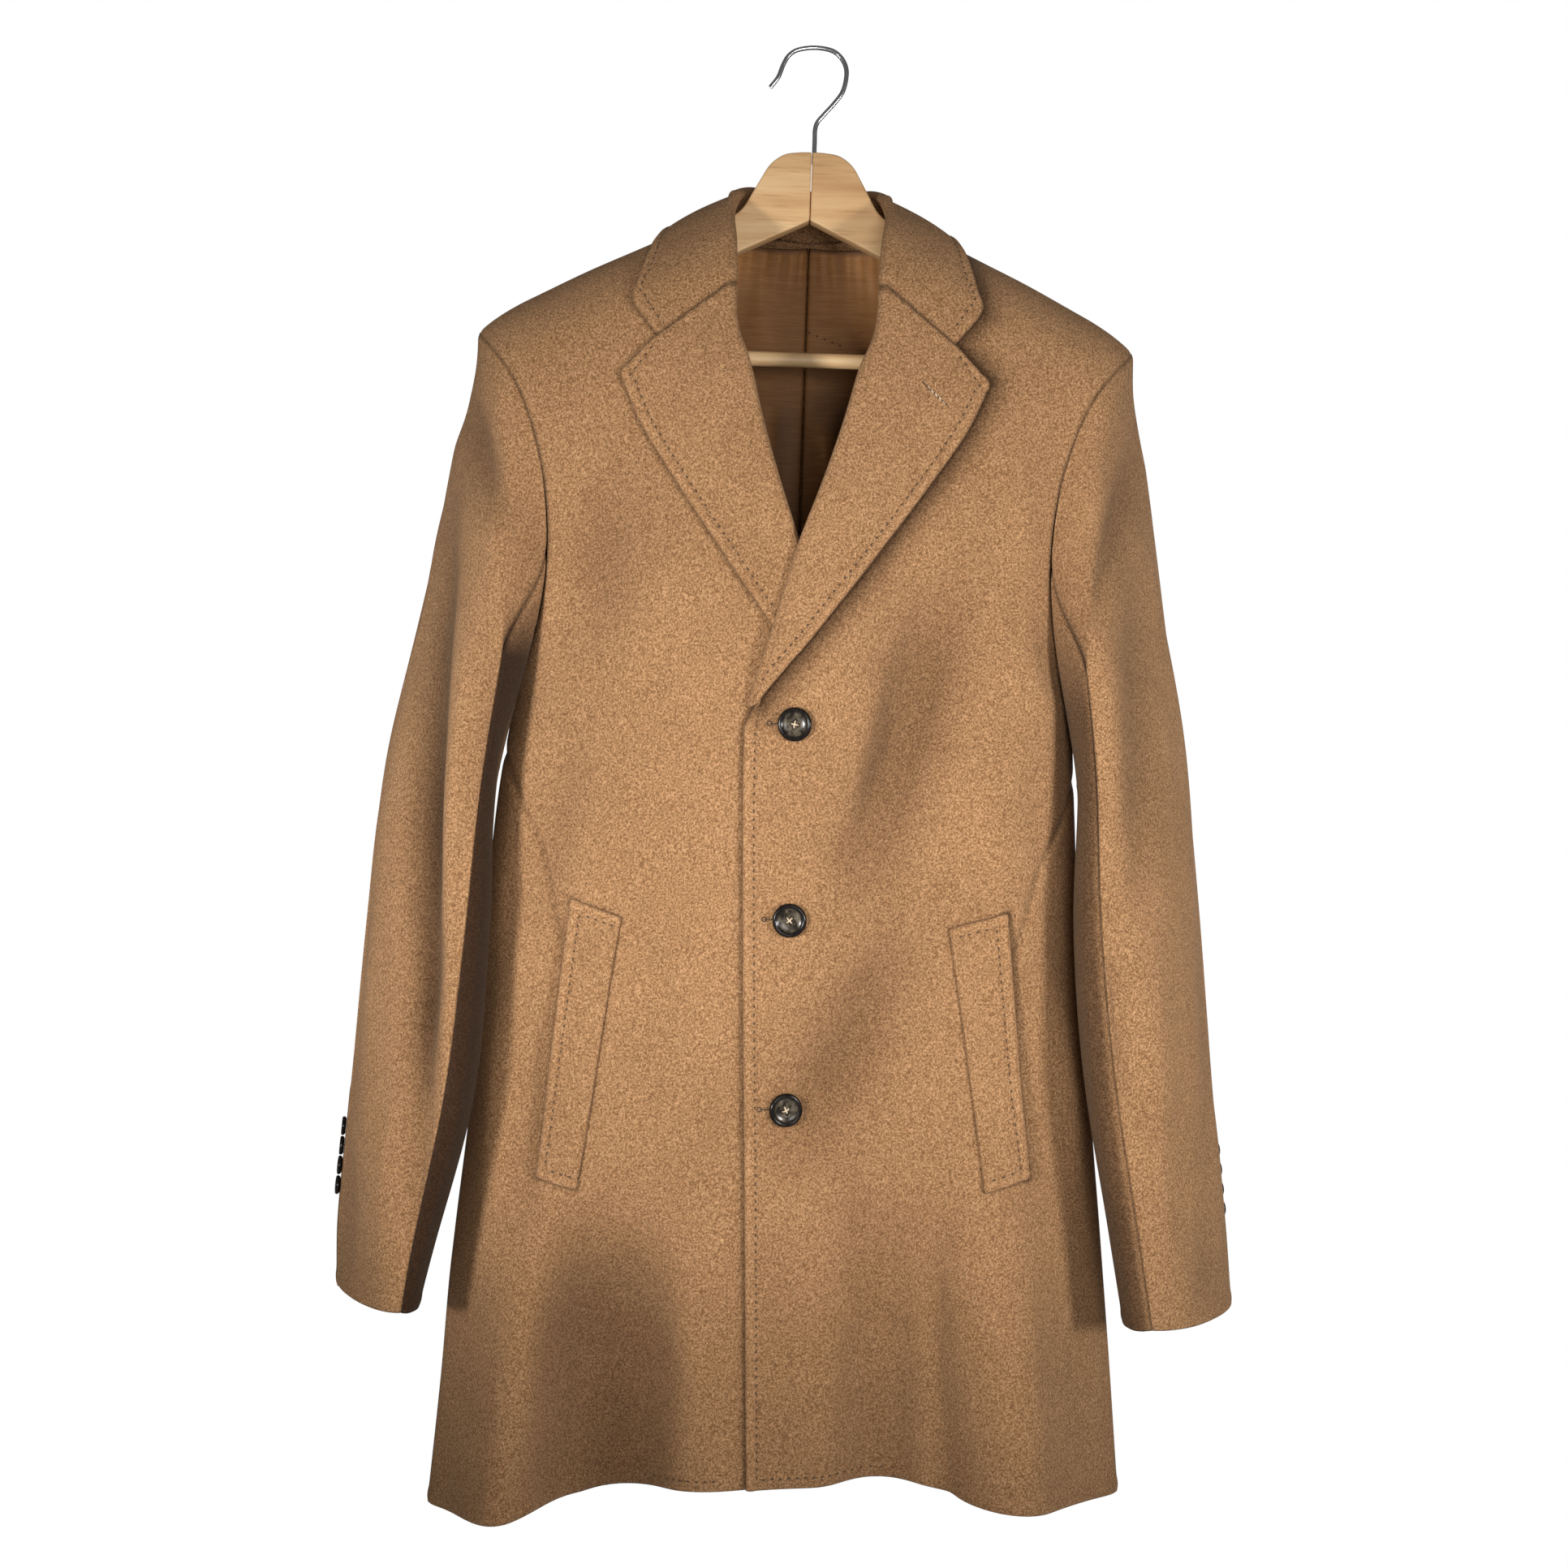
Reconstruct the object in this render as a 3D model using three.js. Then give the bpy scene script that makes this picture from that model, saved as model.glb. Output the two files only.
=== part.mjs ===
// A camel wool overcoat, single-breasted with three buttons and a notch lapel,
// hanging open at the neck on a flat wooden hanger with a trouser bar.
// Millimetres, +Z up. The origin is the inside top of the hanger's hook, the
// front of the coat faces -Y and +X is the wearer's left side.
import * as THREE from 'three';

const { lerp, clamp, smoothstep, degToRad } = THREE.MathUtils;

// Cloth
const CLOTH = 2.4;
const FOLDED_CLOTH = 3;
const LINING_CLOTH = 1;
const SEAM_GAP = 0.3;
const LAYER_GAP = 0.9;
const WELT_GAP = 1.3;
const LINING_GAP = 3.2;

// Levels of the coat, and the half width of its neck
const ARMPIT_Z = -455;
const NECK_SIDE_X = 60;
const NECK_SIDE_Z = -117;
const NECK_BACK_Z = -124;
const SHOULDER_ROUNDING = 60;
const SIDE_SQUARENESS = 3;
// A height in the V of the neck and a place near the side seam, where the
// rows of a panel start to look for their ends
const NECK_GUESS_Z = -200;
const SIDE_GUESS_X = 200;

// The shoulder line, from the neck to the top of the sleeve
const shoulder = [
  { x: -12, z: -93 },
  { x: 12, z: -93 },
  { x: 34, z: -103.5 },
  { x: 60, z: -117 },
  { x: 119, z: -145 },
  { x: 152, z: -160.5 },
  { x: 185, z: -177.5 },
  { x: 202, z: -186.5 },
  { x: 218, z: -197 },
  { x: 229, z: -207 },
  { x: 262, z: -246 },
];

// Half width, front depth and back depth of the body at each height
const bodySections = [
  { z: -60, half: 292, front: 48, back: 50 },
  { z: -117, half: 290, front: 52, back: 54 },
  { z: -208, half: 262, front: 59, back: 57 },
  { z: -250, half: 240, front: 64, back: 58 },
  { z: -314, half: 212, front: 69, back: 58 },
  { z: -363, half: 199, front: 71, back: 57 },
  { z: -455, half: 195, front: 71, back: 54 },
  { z: -568, half: 201, front: 67, back: 50 },
  { z: -736, half: 209, front: 62, back: 48 },
  { z: -820, half: 217, front: 59, back: 48 },
  { z: -922, half: 228, front: 56, back: 50 },
  { z: -1030, half: 239, front: 54, back: 52 },
];

// Height of the hem across the coat
const hem = [
  { x: -240, z: -1021 },
  { x: -184, z: -1013 },
  { x: -101, z: -1000 },
  { x: -20, z: -993 },
  { x: 90, z: -986 },
  { x: 184, z: -992 },
  { x: 241, z: -998 },
];

// Folds: they run from the top to the bottom height, from xTop to xBottom, and
// push the cloth outward by push. One that opens is fullest at the hem.
const frontFolds = [
  { top: -620, bottom: -1010, xTop: -152, xBottom: -184, width: 58, push: 44, opens: true },
  { top: -620, bottom: -1000, xTop: 140, xBottom: 180, width: 58, push: 44, opens: true },
  { top: -640, bottom: -1000, xTop: -92, xBottom: -98, width: 40, push: -8, opens: true },
  { top: -600, bottom: -1000, xTop: 66, xBottom: 70, width: 40, push: -10, opens: true },
  { top: -340, bottom: -640, xTop: 104, xBottom: 34, width: 22, push: -4, opens: false },
  { top: -330, bottom: -600, xTop: -112, xBottom: -60, width: 22, push: -3, opens: false },
];
const backFolds = [
  { top: -540, bottom: -1010, xTop: -84, xBottom: -104, width: 62, push: 17, opens: true },
  { top: -560, bottom: -1000, xTop: 90, xBottom: 112, width: 62, push: 15, opens: true },
  { top: -520, bottom: -1000, xTop: 2, xBottom: 4, width: 46, push: -7, opens: true },
  { top: -300, bottom: -560, xTop: -120, xBottom: -60, width: 26, push: -4, opens: false },
  { top: -300, bottom: -560, xTop: 120, xBottom: 60, width: 26, push: -4, opens: false },
];

// The armhole from the top of the shoulder down to the armpit
const armhole = [
  { x: 229, z: -207 },
  { x: 226, z: -211.5 },
  { x: 219, z: -219.5 },
  { x: 208, z: -232 },
  { x: 194, z: -253 },
  { x: 182, z: -284 },
  { x: 174, z: -318 },
  { x: 171, z: -360 },
  { x: 175, z: -402 },
  { x: 185, z: -438 },
  { x: 195, z: ARMPIT_Z },
];

// Neckline and roll line of the front that lies on top, then its front edge
const frontEdge = [
  { z: -117, x: 60 },
  { z: -128, x: 58.5 },
  { z: -142, x: 56.5 },
  { z: -160, x: 55 },
  { z: -178, x: 53.5 },
  { z: -207, x: 48.5 },
  { z: -240, x: 39.5 },
  { z: -273, x: 31 },
  { z: -316, x: 17.5 },
  { z: -355, x: 4 },
  { z: -395, x: -7 },
  { z: -435, x: -18 },
  { z: -469, x: -28.5 },
  { z: -480, x: -32 },
  { z: -643, x: -27.5 },
  { z: -807, x: -21 },
  { z: -995, x: -14 },
];

// The two sleeves: outer and inner side, half depth and middle at each height
const sleeveSections = {
  left: [
    { z: -190, outer: 229, inner: 160, depth: 46, middle: 0 },
    { z: -211, outer: 232, inner: 162, depth: 50, middle: 0 },
    { z: -245, outer: 240, inner: 166, depth: 58, middle: -2 },
    { z: -299, outer: 249, inner: 170, depth: 66, middle: -4 },
    { z: -400, outer: 265, inner: 180, depth: 72, middle: -7 },
    { z: -502, outer: 277, inner: 194, depth: 72, middle: -11 },
    { z: -604, outer: 289, inner: 197, depth: 69, middle: -17 },
    { z: -706, outer: 300, inner: 208, depth: 65, middle: -25 },
    { z: -808, outer: 313, inner: 227, depth: 61, middle: -33 },
    { z: -872, outer: 319, inner: 240, depth: 58, middle: -37 },
  ],
  right: [
    { z: -190, outer: 229, inner: 160, depth: 46, middle: 0 },
    { z: -211, outer: 233, inner: 162, depth: 50, middle: 0 },
    { z: -245, outer: 242, inner: 166, depth: 58, middle: -2 },
    { z: -315, outer: 256, inner: 171, depth: 67, middle: -4 },
    { z: -418, outer: 271, inner: 183, depth: 72, middle: -7 },
    { z: -521, outer: 285, inner: 196, depth: 72, middle: -11 },
    { z: -623, outer: 293, inner: 202, depth: 69, middle: -17 },
    { z: -726, outer: 299, inner: 211, depth: 65, middle: -25 },
    { z: -828, outer: 305, inner: 232, depth: 60, middle: -33 },
    { z: -876, outer: 305, inner: 241, depth: 58, middle: -36 },
  ],
};
const CUFF_Z = { left: -866, right: -871 };
const SLEEVE_TURN = degToRad(20);
const SLEEVE_BLEND = 75;
const SLEEVE_ROWS = 15;
// Where the two sleeve seams run: loop places at the armhole, angles below it
const BACK_SEAM_LOOP = -3;
const FRONT_SEAM_LOOP = 7;
const backSeamAngle = { left: degToRad(-32), right: degToRad(-4) };
const FRONT_SEAM_ANGLE = degToRad(108);
const SEAM_SETTLE = 190;
// How far the sleeves stay off the coat's side, and how far down from the
// armhole each clearance is reached
const BODY_CLEARANCE = 2.6;
const ARMPIT_CLEARANCE = 6.5;
const ARMPIT_CLEAR_DROP = 12;
const BODY_CLEAR_DROP = { from: 25, to: 110 };
const CLEARANCE_TOP_Z = ARMPIT_Z + 40;

// Lapels: outer edge of the upper one, from the tip to the front edge
const GORGE_END = { x: 52.6, z: -178 };
const COLLAR_NOTCH = { x: 99.5, z: -215.5 };
const LAPEL_TIP = { x: 123, z: -241 };
const lapelEdge = [
  { x: 122, z: -245 },
  { x: 108, z: -276 },
  { x: 82, z: -316 },
  { x: 56, z: -353 },
  { x: 31, z: -388 },
  { x: 5, z: -423 },
  { x: -16, z: -448 },
  { x: -27, z: -465 },
];
const GORGE_STEPS = 5;
const NOTCH_STEPS = 2;
const FOLD_ARC_STEPS = 4;
const INNER_LEG = 12;
const SHORT_LEG = 0.8;
const LAPEL_PUFF = 2.5;
const LAPEL_ROWS = 12;
const UNDER_LAPEL_END_Z = -428;
const UPPER_LAPEL_END_Z = -462;
// Gap between the gorge seam and the lapel's first row
const GORGE_DROP = 0.45;
// How much the lapel's rows crowd towards its tip and towards its lower end
const EDGE_CROWDING = 0.2;
const NECK_CROWDING = 0.25;
// Heights where the upper lapel comes round the edge, and where lapels puff out
const WRAP_ZONE = { from: -352, to: -325 };
const PUFF_ZONE = { from: -350, to: -300 };

// Collar stations from the gorge to the middle of the back. The foot is sewn
// to the neckline, the roll is the top of the fold, the edge is the fall's.
const collarStations = [
  { foot: [56.5, -11, -117], roll: [53, -14, -105.5], edge: [106, -28, -142.5] },
  { foot: [56, 0, -116.4], roll: [51.5, -2, -100], edge: [100.5, -6, -131] },
  { foot: [45, 21, -118], roll: [43.5, 21, -91.5], edge: [90, 27, -128.5] },
  { foot: [24.5, 38, -121], roll: [25, 45, -86.5], edge: [60, 52, -131.5] },
  { foot: [12.5, 42.8, -122], roll: [12.5, 51.8, -84.7], edge: [30, 60, -133.4] },
  { foot: [0, 44.4, -122.5], roll: [0, 54, -84.2], edge: [0, 62.5, -134] },
];
// In front the collar folds round the neck edge, at rows of the front panel
const COLLAR_INSET = 1.7;
const collarFront = [
  { row: 3, edge: { x: 116.5, z: -192.5 }, leg: 8 },
  { row: 2, edge: { x: 114, z: -178 }, leg: 4 },
  { row: 1, edge: { x: 108.5, z: -158 }, leg: 1 },
];

// Welt pockets: corners of the one on each side
const welts = {
  right: [{ x: -145, z: -598 }, { x: -111.5, z: -608 }, { x: -136.5, z: -791.5 }, { x: -163, z: -784 }],
  left: [{ x: 145.5, z: -598 }, { x: 110, z: -609 }, { x: 140, z: -783 }, { x: 166.5, z: -774 }],
};
const WELT_STEPS = 8;

// Lining of the back, seen through the neck
const LINING_TOP_Z = -126;
const LINING_SLOPE = 14;
const LINING_BOTTOM_Z = -500;
const LINING_HALF = 150;
const LINING_ROWS = 8;
const LINING_COLUMNS = 5;

// Buttons
const FRONT_BUTTONS = [{ x: 1.2, z: -475 }, { x: 1.8, z: -606 }, { x: 2.8, z: -734 }];
const FRONT_BUTTON_RADIUS = 11.5;
const FRONT_BUTTON_THICKNESS = 4.4;
const FRONT_BUTTON_STAND = 0.9;
const CUFF_BUTTON_ZS = [-765, -778.5, -792, -805.5];
const CUFF_BUTTON_RADIUS = 6.6;
const CUFF_BUTTON_THICKNESS = 3;
const CUFF_BUTTON_STAND = -0.35;
const CUFF_BUTTON_BEHIND_SEAM = degToRad(12);

// Hanger
const HANGER_THICKNESS = 13;
const HANGER_BLOCK_TOP_Z = -73;
const HANGER_BLOCK_HALF = 29;
const HANGER_BLOCK_SHOULDER_Z = -81.5;
const HANGER_ARM_START_X = 48.5;
const HANGER_LOW_APEX_Z = -121;
const HANGER_ARM_SLOPE = 0.475;
const HANGER_TIP_X = 205;
const HANGER_LOBE_X = 186;
const BAR_Z = -217.5;
const BAR_RADIUS = 5.25;
const HANGER_UNDER_CLOTH = 2.8;

// Hook
const WIRE_RADIUS = 1.7;
const HOOK_STEPS = 44;
const WIRE_SIDES = 8;
const hookRoute = [
  [-30.8, -27.2], [-25.4, -19.7], [-22.3, -11.3], [-18.4, -4.3], [-11.7, 0], [0, 1.7],
  [11.7, 0], [18.4, -5], [21.9, -12], [22.1, -20.2], [19.7, -29.3], [13.8, -37.7],
  [7.1, -45.5], [3.1, -50.6], [1.6, -56], [1.6, -64], [1.6, HANGER_BLOCK_TOP_Z + SEAM_GAP],
];

// Materials
function finish(color, roughness, metalness = 0) {
  return new THREE.MeshStandardMaterial({ color, roughness, metalness });
}
const camelWool = finish(0xc09a6b, 0.95);
const copperLining = finish(0x96643c, 0.45);
const darkHorn = finish(0x2b2320, 0.35);
const paleWood = finish(0xc79c6a, 0.45);
const brightSteel = finish(0xc9cbcd, 0.22, 1);

const coat = new THREE.Group();
coat.name = 'wool_overcoat_on_hanger';

function add(name, geometry, material) {
  const mesh = new THREE.Mesh(geometry, material);
  mesh.name = name;
  coat.add(mesh);
  return mesh;
}

// A smooth reading of one column of a table at a value of its key column
function read(table, key, at, column) {
  const falling = table[0][key] > table[table.length - 1][key];
  let i = 0;
  while (i < table.length - 2 && (falling ? at < table[i + 1][key] : at > table[i + 1][key])) {
    i += 1;
  }
  const before = table[Math.max(i - 1, 0)];
  const from = table[i];
  const to = table[i + 1];
  const after = table[Math.min(i + 2, table.length - 1)];
  const span = to[key] - from[key];
  const t = clamp((at - from[key]) / span, 0, 1);
  const slopeFrom = (to[column] - before[column]) / (to[key] - before[key]) * span;
  const slopeTo = (after[column] - from[column]) / (after[key] - from[key]) * span;
  const t2 = t * t;
  const t3 = t2 * t;
  return (2 * t3 - 3 * t2 + 1) * from[column] + (t3 - 2 * t2 + t) * slopeFrom
    + (3 * t2 - 2 * t3) * to[column] + (t3 - t2) * slopeTo;
}

function shoulderZ(x) {
  return read(shoulder, 'x', Math.abs(x), 'z');
}

function foldPush(folds, x, z) {
  let sum = 0;
  for (const fold of folds) {
    const along = clamp((fold.top - z) / (fold.top - fold.bottom), 0, 1);
    const across = (x - lerp(fold.xTop, fold.xBottom, along)) / fold.width;
    if (Math.abs(across) < 1) {
      const bell = Math.cos(across * Math.PI / 2) ** 2;
      const swell = fold.opens ? along * along * (3 - 2 * along) : Math.sin(along * Math.PI);
      sum += fold.push * bell * swell;
    }
  }
  return sum;
}

// Distance of the body's surface from its middle plane, in front or behind
function bodyDepth(face, x, z) {
  const half = read(bodySections, 'z', z, 'half');
  const depth = read(bodySections, 'z', z, face);
  const across = clamp(Math.abs(x) / half, 0, 1);
  const outline = (1 - across ** SIDE_SQUARENESS) ** (1 / SIDE_SQUARENESS);
  const below = clamp((shoulderZ(x) - z) / SHOULDER_ROUNDING, 0, 1);
  const rounding = Math.sqrt(1 - (1 - below) ** 2);
  const folds = face === 'front' ? frontFolds : backFolds;
  return depth * outline * rounding + foldPush(folds, x, z) * (1 - across ** 8);
}

// The front that lies on top is lifted over the one below and its lapel
const OVERLAP_LIFT = CLOTH + 1.6;
const UNDER_LAPEL_LIFT = FOLDED_CLOTH + 1;
const OVERLAP_FADE = { from: 42, to: 85 };
const LAPEL_FADE = { from: 26, to: 70, lowZ: -458, lowFullZ: -434, highFullZ: -330, highZ: -290 };
function frontLift(side, x, z) {
  if (side !== 'left') {
    return 0;
  }
  const overFront = 1 - smoothstep(x, OVERLAP_FADE.from, OVERLAP_FADE.to);
  const overLapel = (1 - smoothstep(x, LAPEL_FADE.from, LAPEL_FADE.to))
    * smoothstep(z, LAPEL_FADE.lowZ, LAPEL_FADE.lowFullZ)
    * (1 - smoothstep(z, LAPEL_FADE.highFullZ, LAPEL_FADE.highZ));
  return OVERLAP_LIFT * overFront + UNDER_LAPEL_LIFT * overLapel;
}

function panelPoint(panel, x, z, out = 0) {
  const y = panel.facing * (bodyDepth(panel.face, x, z) + panel.lift(x, z));
  const point = new THREE.Vector3(x, y, z);
  return out === 0 ? point : point.addScaledVector(panelNormal(panel, x, z), out);
}

// Normal of a panel's surface. It looks sideways at the side seam and up along
// the shoulder line.
const NORMAL_STEP = 0.8;
const SIDE_MARGIN = 0.5;
const RIDGE_MARGIN = 0.2;
function panelNormal(panel, x, z) {
  const half = read(bodySections, 'z', z, 'half');
  if (z < ARMPIT_Z + 1 && Math.abs(x) > half - SIDE_MARGIN) {
    return new THREE.Vector3(Math.sign(x), 0, 0);
  }
  const ridge = shoulderZ(x);
  if (z > ridge - RIDGE_MARGIN) {
    const slope = (shoulderZ(Math.abs(x) + 1) - shoulderZ(Math.abs(x) - 1)) / 2;
    return new THREE.Vector3(-slope * Math.sign(x), 0, 1).normalize();
  }
  const h = Math.min(NORMAL_STEP, (ridge - z) / 2);
  const along = new THREE.Vector3(2 * h, panelPoint(panel, x + h, z).y - panelPoint(panel, x - h, z).y, 0);
  const up = new THREE.Vector3(0, panelPoint(panel, x, z + h).y - panelPoint(panel, x, z - h).y, 2 * h);
  return along.cross(up).multiplyScalar(-panel.facing).normalize();
}

function makePanel(side, face) {
  const facing = face === 'front' ? -1 : 1;
  const lift = face === 'front' ? (x, z) => frontLift(side, x, z) : () => 0;
  return { side, face, facing, lift, sign: side === 'left' ? 1 : -1 };
}
const frontPanels = { right: makePanel('right', 'front'), left: makePanel('left', 'front') };
const backPanels = { right: makePanel('right', 'back'), left: makePanel('left', 'back') };

// A closed wall between an outer and an inner grid of points. Its faces are
// turned so that they look outward.
function wallGeometry(outer, inner) {
  const rows = outer.length;
  const columns = outer[0].length;
  const layer = rows * columns;
  const points = [...outer.flat(), ...inner.flat()];
  const faces = [];
  const quad = (a, b, c, d) => faces.push([a, b, c], [a, c, d]);
  for (let r = 0; r < rows - 1; r += 1) {
    for (let c = 0; c < columns - 1; c += 1) {
      const a = r * columns + c;
      const b = a + 1;
      const d = a + columns;
      quad(a, b, d + 1, d);
      faces.push([layer + a, layer + d + 1, layer + b], [layer + a, layer + d, layer + d + 1]);
    }
  }
  // Opposite rims are cut along matching diagonals, so that two pieces fit
  // each other along a seam
  const rim = (a, b) => quad(b, a, layer + a, layer + b);
  const oppositeRim = (a, b) => faces.push([a, layer + a, layer + b], [b, a, layer + b]);
  for (let c = 0; c < columns - 1; c += 1) {
    rim(c, c + 1);
    oppositeRim((rows - 1) * columns + c + 1, (rows - 1) * columns + c);
  }
  for (let r = 0; r < rows - 1; r += 1) {
    rim((r + 1) * columns, r * columns);
    oppositeRim(r * columns + columns - 1, (r + 1) * columns + columns - 1);
  }
  let volume = 0;
  for (const [a, b, c] of faces) {
    volume += points[a].dot(new THREE.Vector3().crossVectors(points[b], points[c]));
  }
  const index = volume > 0 ? faces.flat() : faces.map(([a, b, c]) => [a, c, b]).flat();
  const geometry = new THREE.BufferGeometry().setFromPoints(points);
  geometry.setIndex(index);
  geometry.computeVertexNormals();
  return geometry;
}

// Moves a grid of points along its own normals, which are the cross product of
// the direction of its rows and that of its columns
function offsetGrid(grid, distance) {
  const rows = grid.length;
  const columns = grid[0].length;
  return grid.map((row, r) => row.map((point, c) => {
    const alongRow = new THREE.Vector3()
      .subVectors(row[Math.min(c + 1, columns - 1)], row[Math.max(c - 1, 0)]);
    const alongColumn = new THREE.Vector3()
      .subVectors(grid[Math.min(r + 1, rows - 1)][c], grid[Math.max(r - 1, 0)][c]);
    const normal = alongRow.cross(alongColumn).normalize();
    return point.clone().addScaledVector(normal, distance);
  }));
}

// Body panels. Rows run from the shoulder line to the hem, columns from the
// middle of the coat to the armhole and the side seam.
const LOWER_ROWS = 12;
const PANEL_COLUMNS = 10;
const EDGE_PASSES = 30;
const EDGE_PASS_STEP = 0.6;
// Columns crowd towards the side seam. Above the armpit this fades out.
const BUNCHING_FADE = { from: 0.75, to: 1 };
const sideBunching = [0, 0.16, 0.31, 0.46, 0.6, 0.73, 0.83, 0.905, 0.955, 0.987, 1];

function topZ(face, x) {
  if (face === 'back' && Math.abs(x) < NECK_SIDE_X) {
    const t = Math.abs(x) / NECK_SIDE_X;
    return lerp(NECK_BACK_Z, NECK_SIDE_Z, t * t);
  }
  return shoulderZ(x);
}

function innerEdgeX(panel, z) {
  if (panel.face === 'back') {
    return panel.sign * SEAM_GAP / 2;
  }
  return panel.sign * read(frontEdge, 'z', z, 'x');
}

// Height fraction of each armhole point between the shoulder and the armpit
const armholeShare = armhole.map(({ x, z }) => (shoulderZ(x) - z) / (shoulderZ(x) - ARMPIT_Z));

function panelRow(panel, rowIndex) {
  const armRows = armhole.length - 1;
  const upper = rowIndex <= armRows;
  const share = upper ? armholeShare[rowIndex] : 0;
  const drop = upper ? 0 : (rowIndex - armRows) / LOWER_ROWS;
  const height = (x) => {
    if (upper) {
      return lerp(topZ(panel.face, x), ARMPIT_Z, share);
    }
    return lerp(ARMPIT_Z, read(hem, 'x', x, 'z'), drop);
  };
  const bunching = upper ? smoothstep(share, BUNCHING_FADE.from, BUNCHING_FADE.to) : 1;
  // The inner end lies where the row's height meets the front edge
  let startX = innerEdgeX(panel, upper ? NECK_GUESS_Z : ARMPIT_Z);
  for (let pass = 0; pass < EDGE_PASSES; pass += 1) {
    startX = lerp(startX, innerEdgeX(panel, height(startX)), EDGE_PASS_STEP);
  }
  const level = height(panel.sign * SIDE_GUESS_X);
  const endX = panel.sign * (upper ? armhole[rowIndex].x : read(bodySections, 'z', level, 'half'));
  const row = [];
  for (let c = 0; c <= PANEL_COLUMNS; c += 1) {
    const part = lerp(c / PANEL_COLUMNS, sideBunching[c], bunching);
    const x = lerp(startX, endX, part);
    row.push({ x, z: height(x) });
  }
  return row;
}

// The cloth wall of a front or back, with its seams set back by half a gap
function panelWall(panel) {
  const rows = armhole.length - 1 + LOWER_ROWS;
  const outer = [];
  const inner = [];
  for (let r = 0; r <= rows; r += 1) {
    const places = panelRow(panel, r);
    const outerRow = places.map(({ x, z }) => panelPoint(panel, x, z));
    const innerRow = places.map(({ x, z }) => {
      return panelPoint(panel, x, z).addScaledVector(panelNormal(panel, x, z), -CLOTH);
    });
    outer.push(outerRow);
    inner.push(innerRow);
  }
  stepBack(outer, inner, panel);
  return wallGeometry(outer, inner);
}

// The shoulder and side seams lie in the plane between front and back
const ON_SEAM_PLANE = 1;
function stepBack(outer, inner, panel) {
  const half = SEAM_GAP / 2;
  const last = outer[0].length - 1;
  for (const grid of [outer, inner]) {
    for (const point of grid[0]) {
      if (Math.abs(point.y) < ON_SEAM_PLANE) {
        point.y = panel.facing * half;
      }
    }
    for (let r = armhole.length - 1; r < grid.length; r += 1) {
      grid[r][last].y = panel.facing * half;
    }
  }
}

for (const side of ['right', 'left']) {
  add(`front_${side}`, panelWall(frontPanels[side]), camelWool);
  add(`back_${side}`, panelWall(backPanels[side]), camelWool);
}

// The armhole as a closed loop: forward from the top, down to the armpit and
// up the back again. Place 0 is the top of the shoulder.
const LOOP = 2 * (armhole.length - 1);
function armholePlace(side, place) {
  const wrapped = ((place % LOOP) + LOOP) % LOOP;
  const inFront = wrapped <= LOOP / 2;
  const row = armhole[inFront ? wrapped : LOOP - wrapped];
  const panel = (inFront ? frontPanels : backPanels)[side];
  const x = panel.sign * row.x;
  const point = panelPoint(panel, x, row.z);
  const normal = panelNormal(panel, x, row.z);
  return { point, normal };
}

// A point of the sleeve's outline at a height. Angle 0 is the outer side and
// 90 degrees the front.
function sleeveOutline(side, angle, z) {
  const sections = sleeveSections[side];
  const outer = read(sections, 'z', z, 'outer');
  const inner = read(sections, 'z', z, 'inner');
  const halfDepth = read(sections, 'z', z, 'depth');
  const middleY = read(sections, 'z', z, 'middle');
  const halfWidth = (outer - inner) / 2;
  const turned = halfDepth * Math.sin(SLEEVE_TURN);
  const halfShort = Math.sqrt(Math.max(halfWidth ** 2 - turned ** 2, 1)) / Math.cos(SLEEVE_TURN);
  const across = halfShort * Math.cos(angle);
  const forward = halfDepth * Math.sin(angle);
  const x = (outer + inner) / 2 + across * Math.cos(SLEEVE_TURN) - forward * Math.sin(SLEEVE_TURN);
  const y = middleY + across * Math.sin(SLEEVE_TURN) - forward * Math.cos(SLEEVE_TURN);
  return { x, y };
}

// Keeps the inner side of a sleeve just clear of the coat's side
function clearOfBody(x, y, z, drop) {
  if (z > CLEARANCE_TOP_Z) {
    return x;
  }
  const face = y < 0 ? 'front' : 'back';
  const half = read(bodySections, 'z', z, 'half');
  const depth = read(bodySections, 'z', z, face);
  const reach = clamp(Math.abs(y) / depth, 0, 1);
  const bodyX = half * (1 - reach ** SIDE_SQUARENESS) ** (1 / SIDE_SQUARENESS);
  const settled = smoothstep(drop, BODY_CLEAR_DROP.from, BODY_CLEAR_DROP.to);
  const clearance = lerp(ARMPIT_CLEARANCE, BODY_CLEARANCE, settled);
  return Math.max(x, bodyX + clearance * smoothstep(drop, 0, ARMPIT_CLEAR_DROP));
}

function seamAngles(side, z, startZ) {
  const settle = smoothstep(startZ - z, 0, SEAM_SETTLE);
  const stepAngle = 2 * Math.PI / LOOP;
  return {
    back: lerp(BACK_SEAM_LOOP * stepAngle - SLEEVE_TURN, backSeamAngle[side], settle),
    front: lerp(FRONT_SEAM_LOOP * stepAngle - SLEEVE_TURN, FRONT_SEAM_ANGLE, settle),
  };
}

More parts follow.
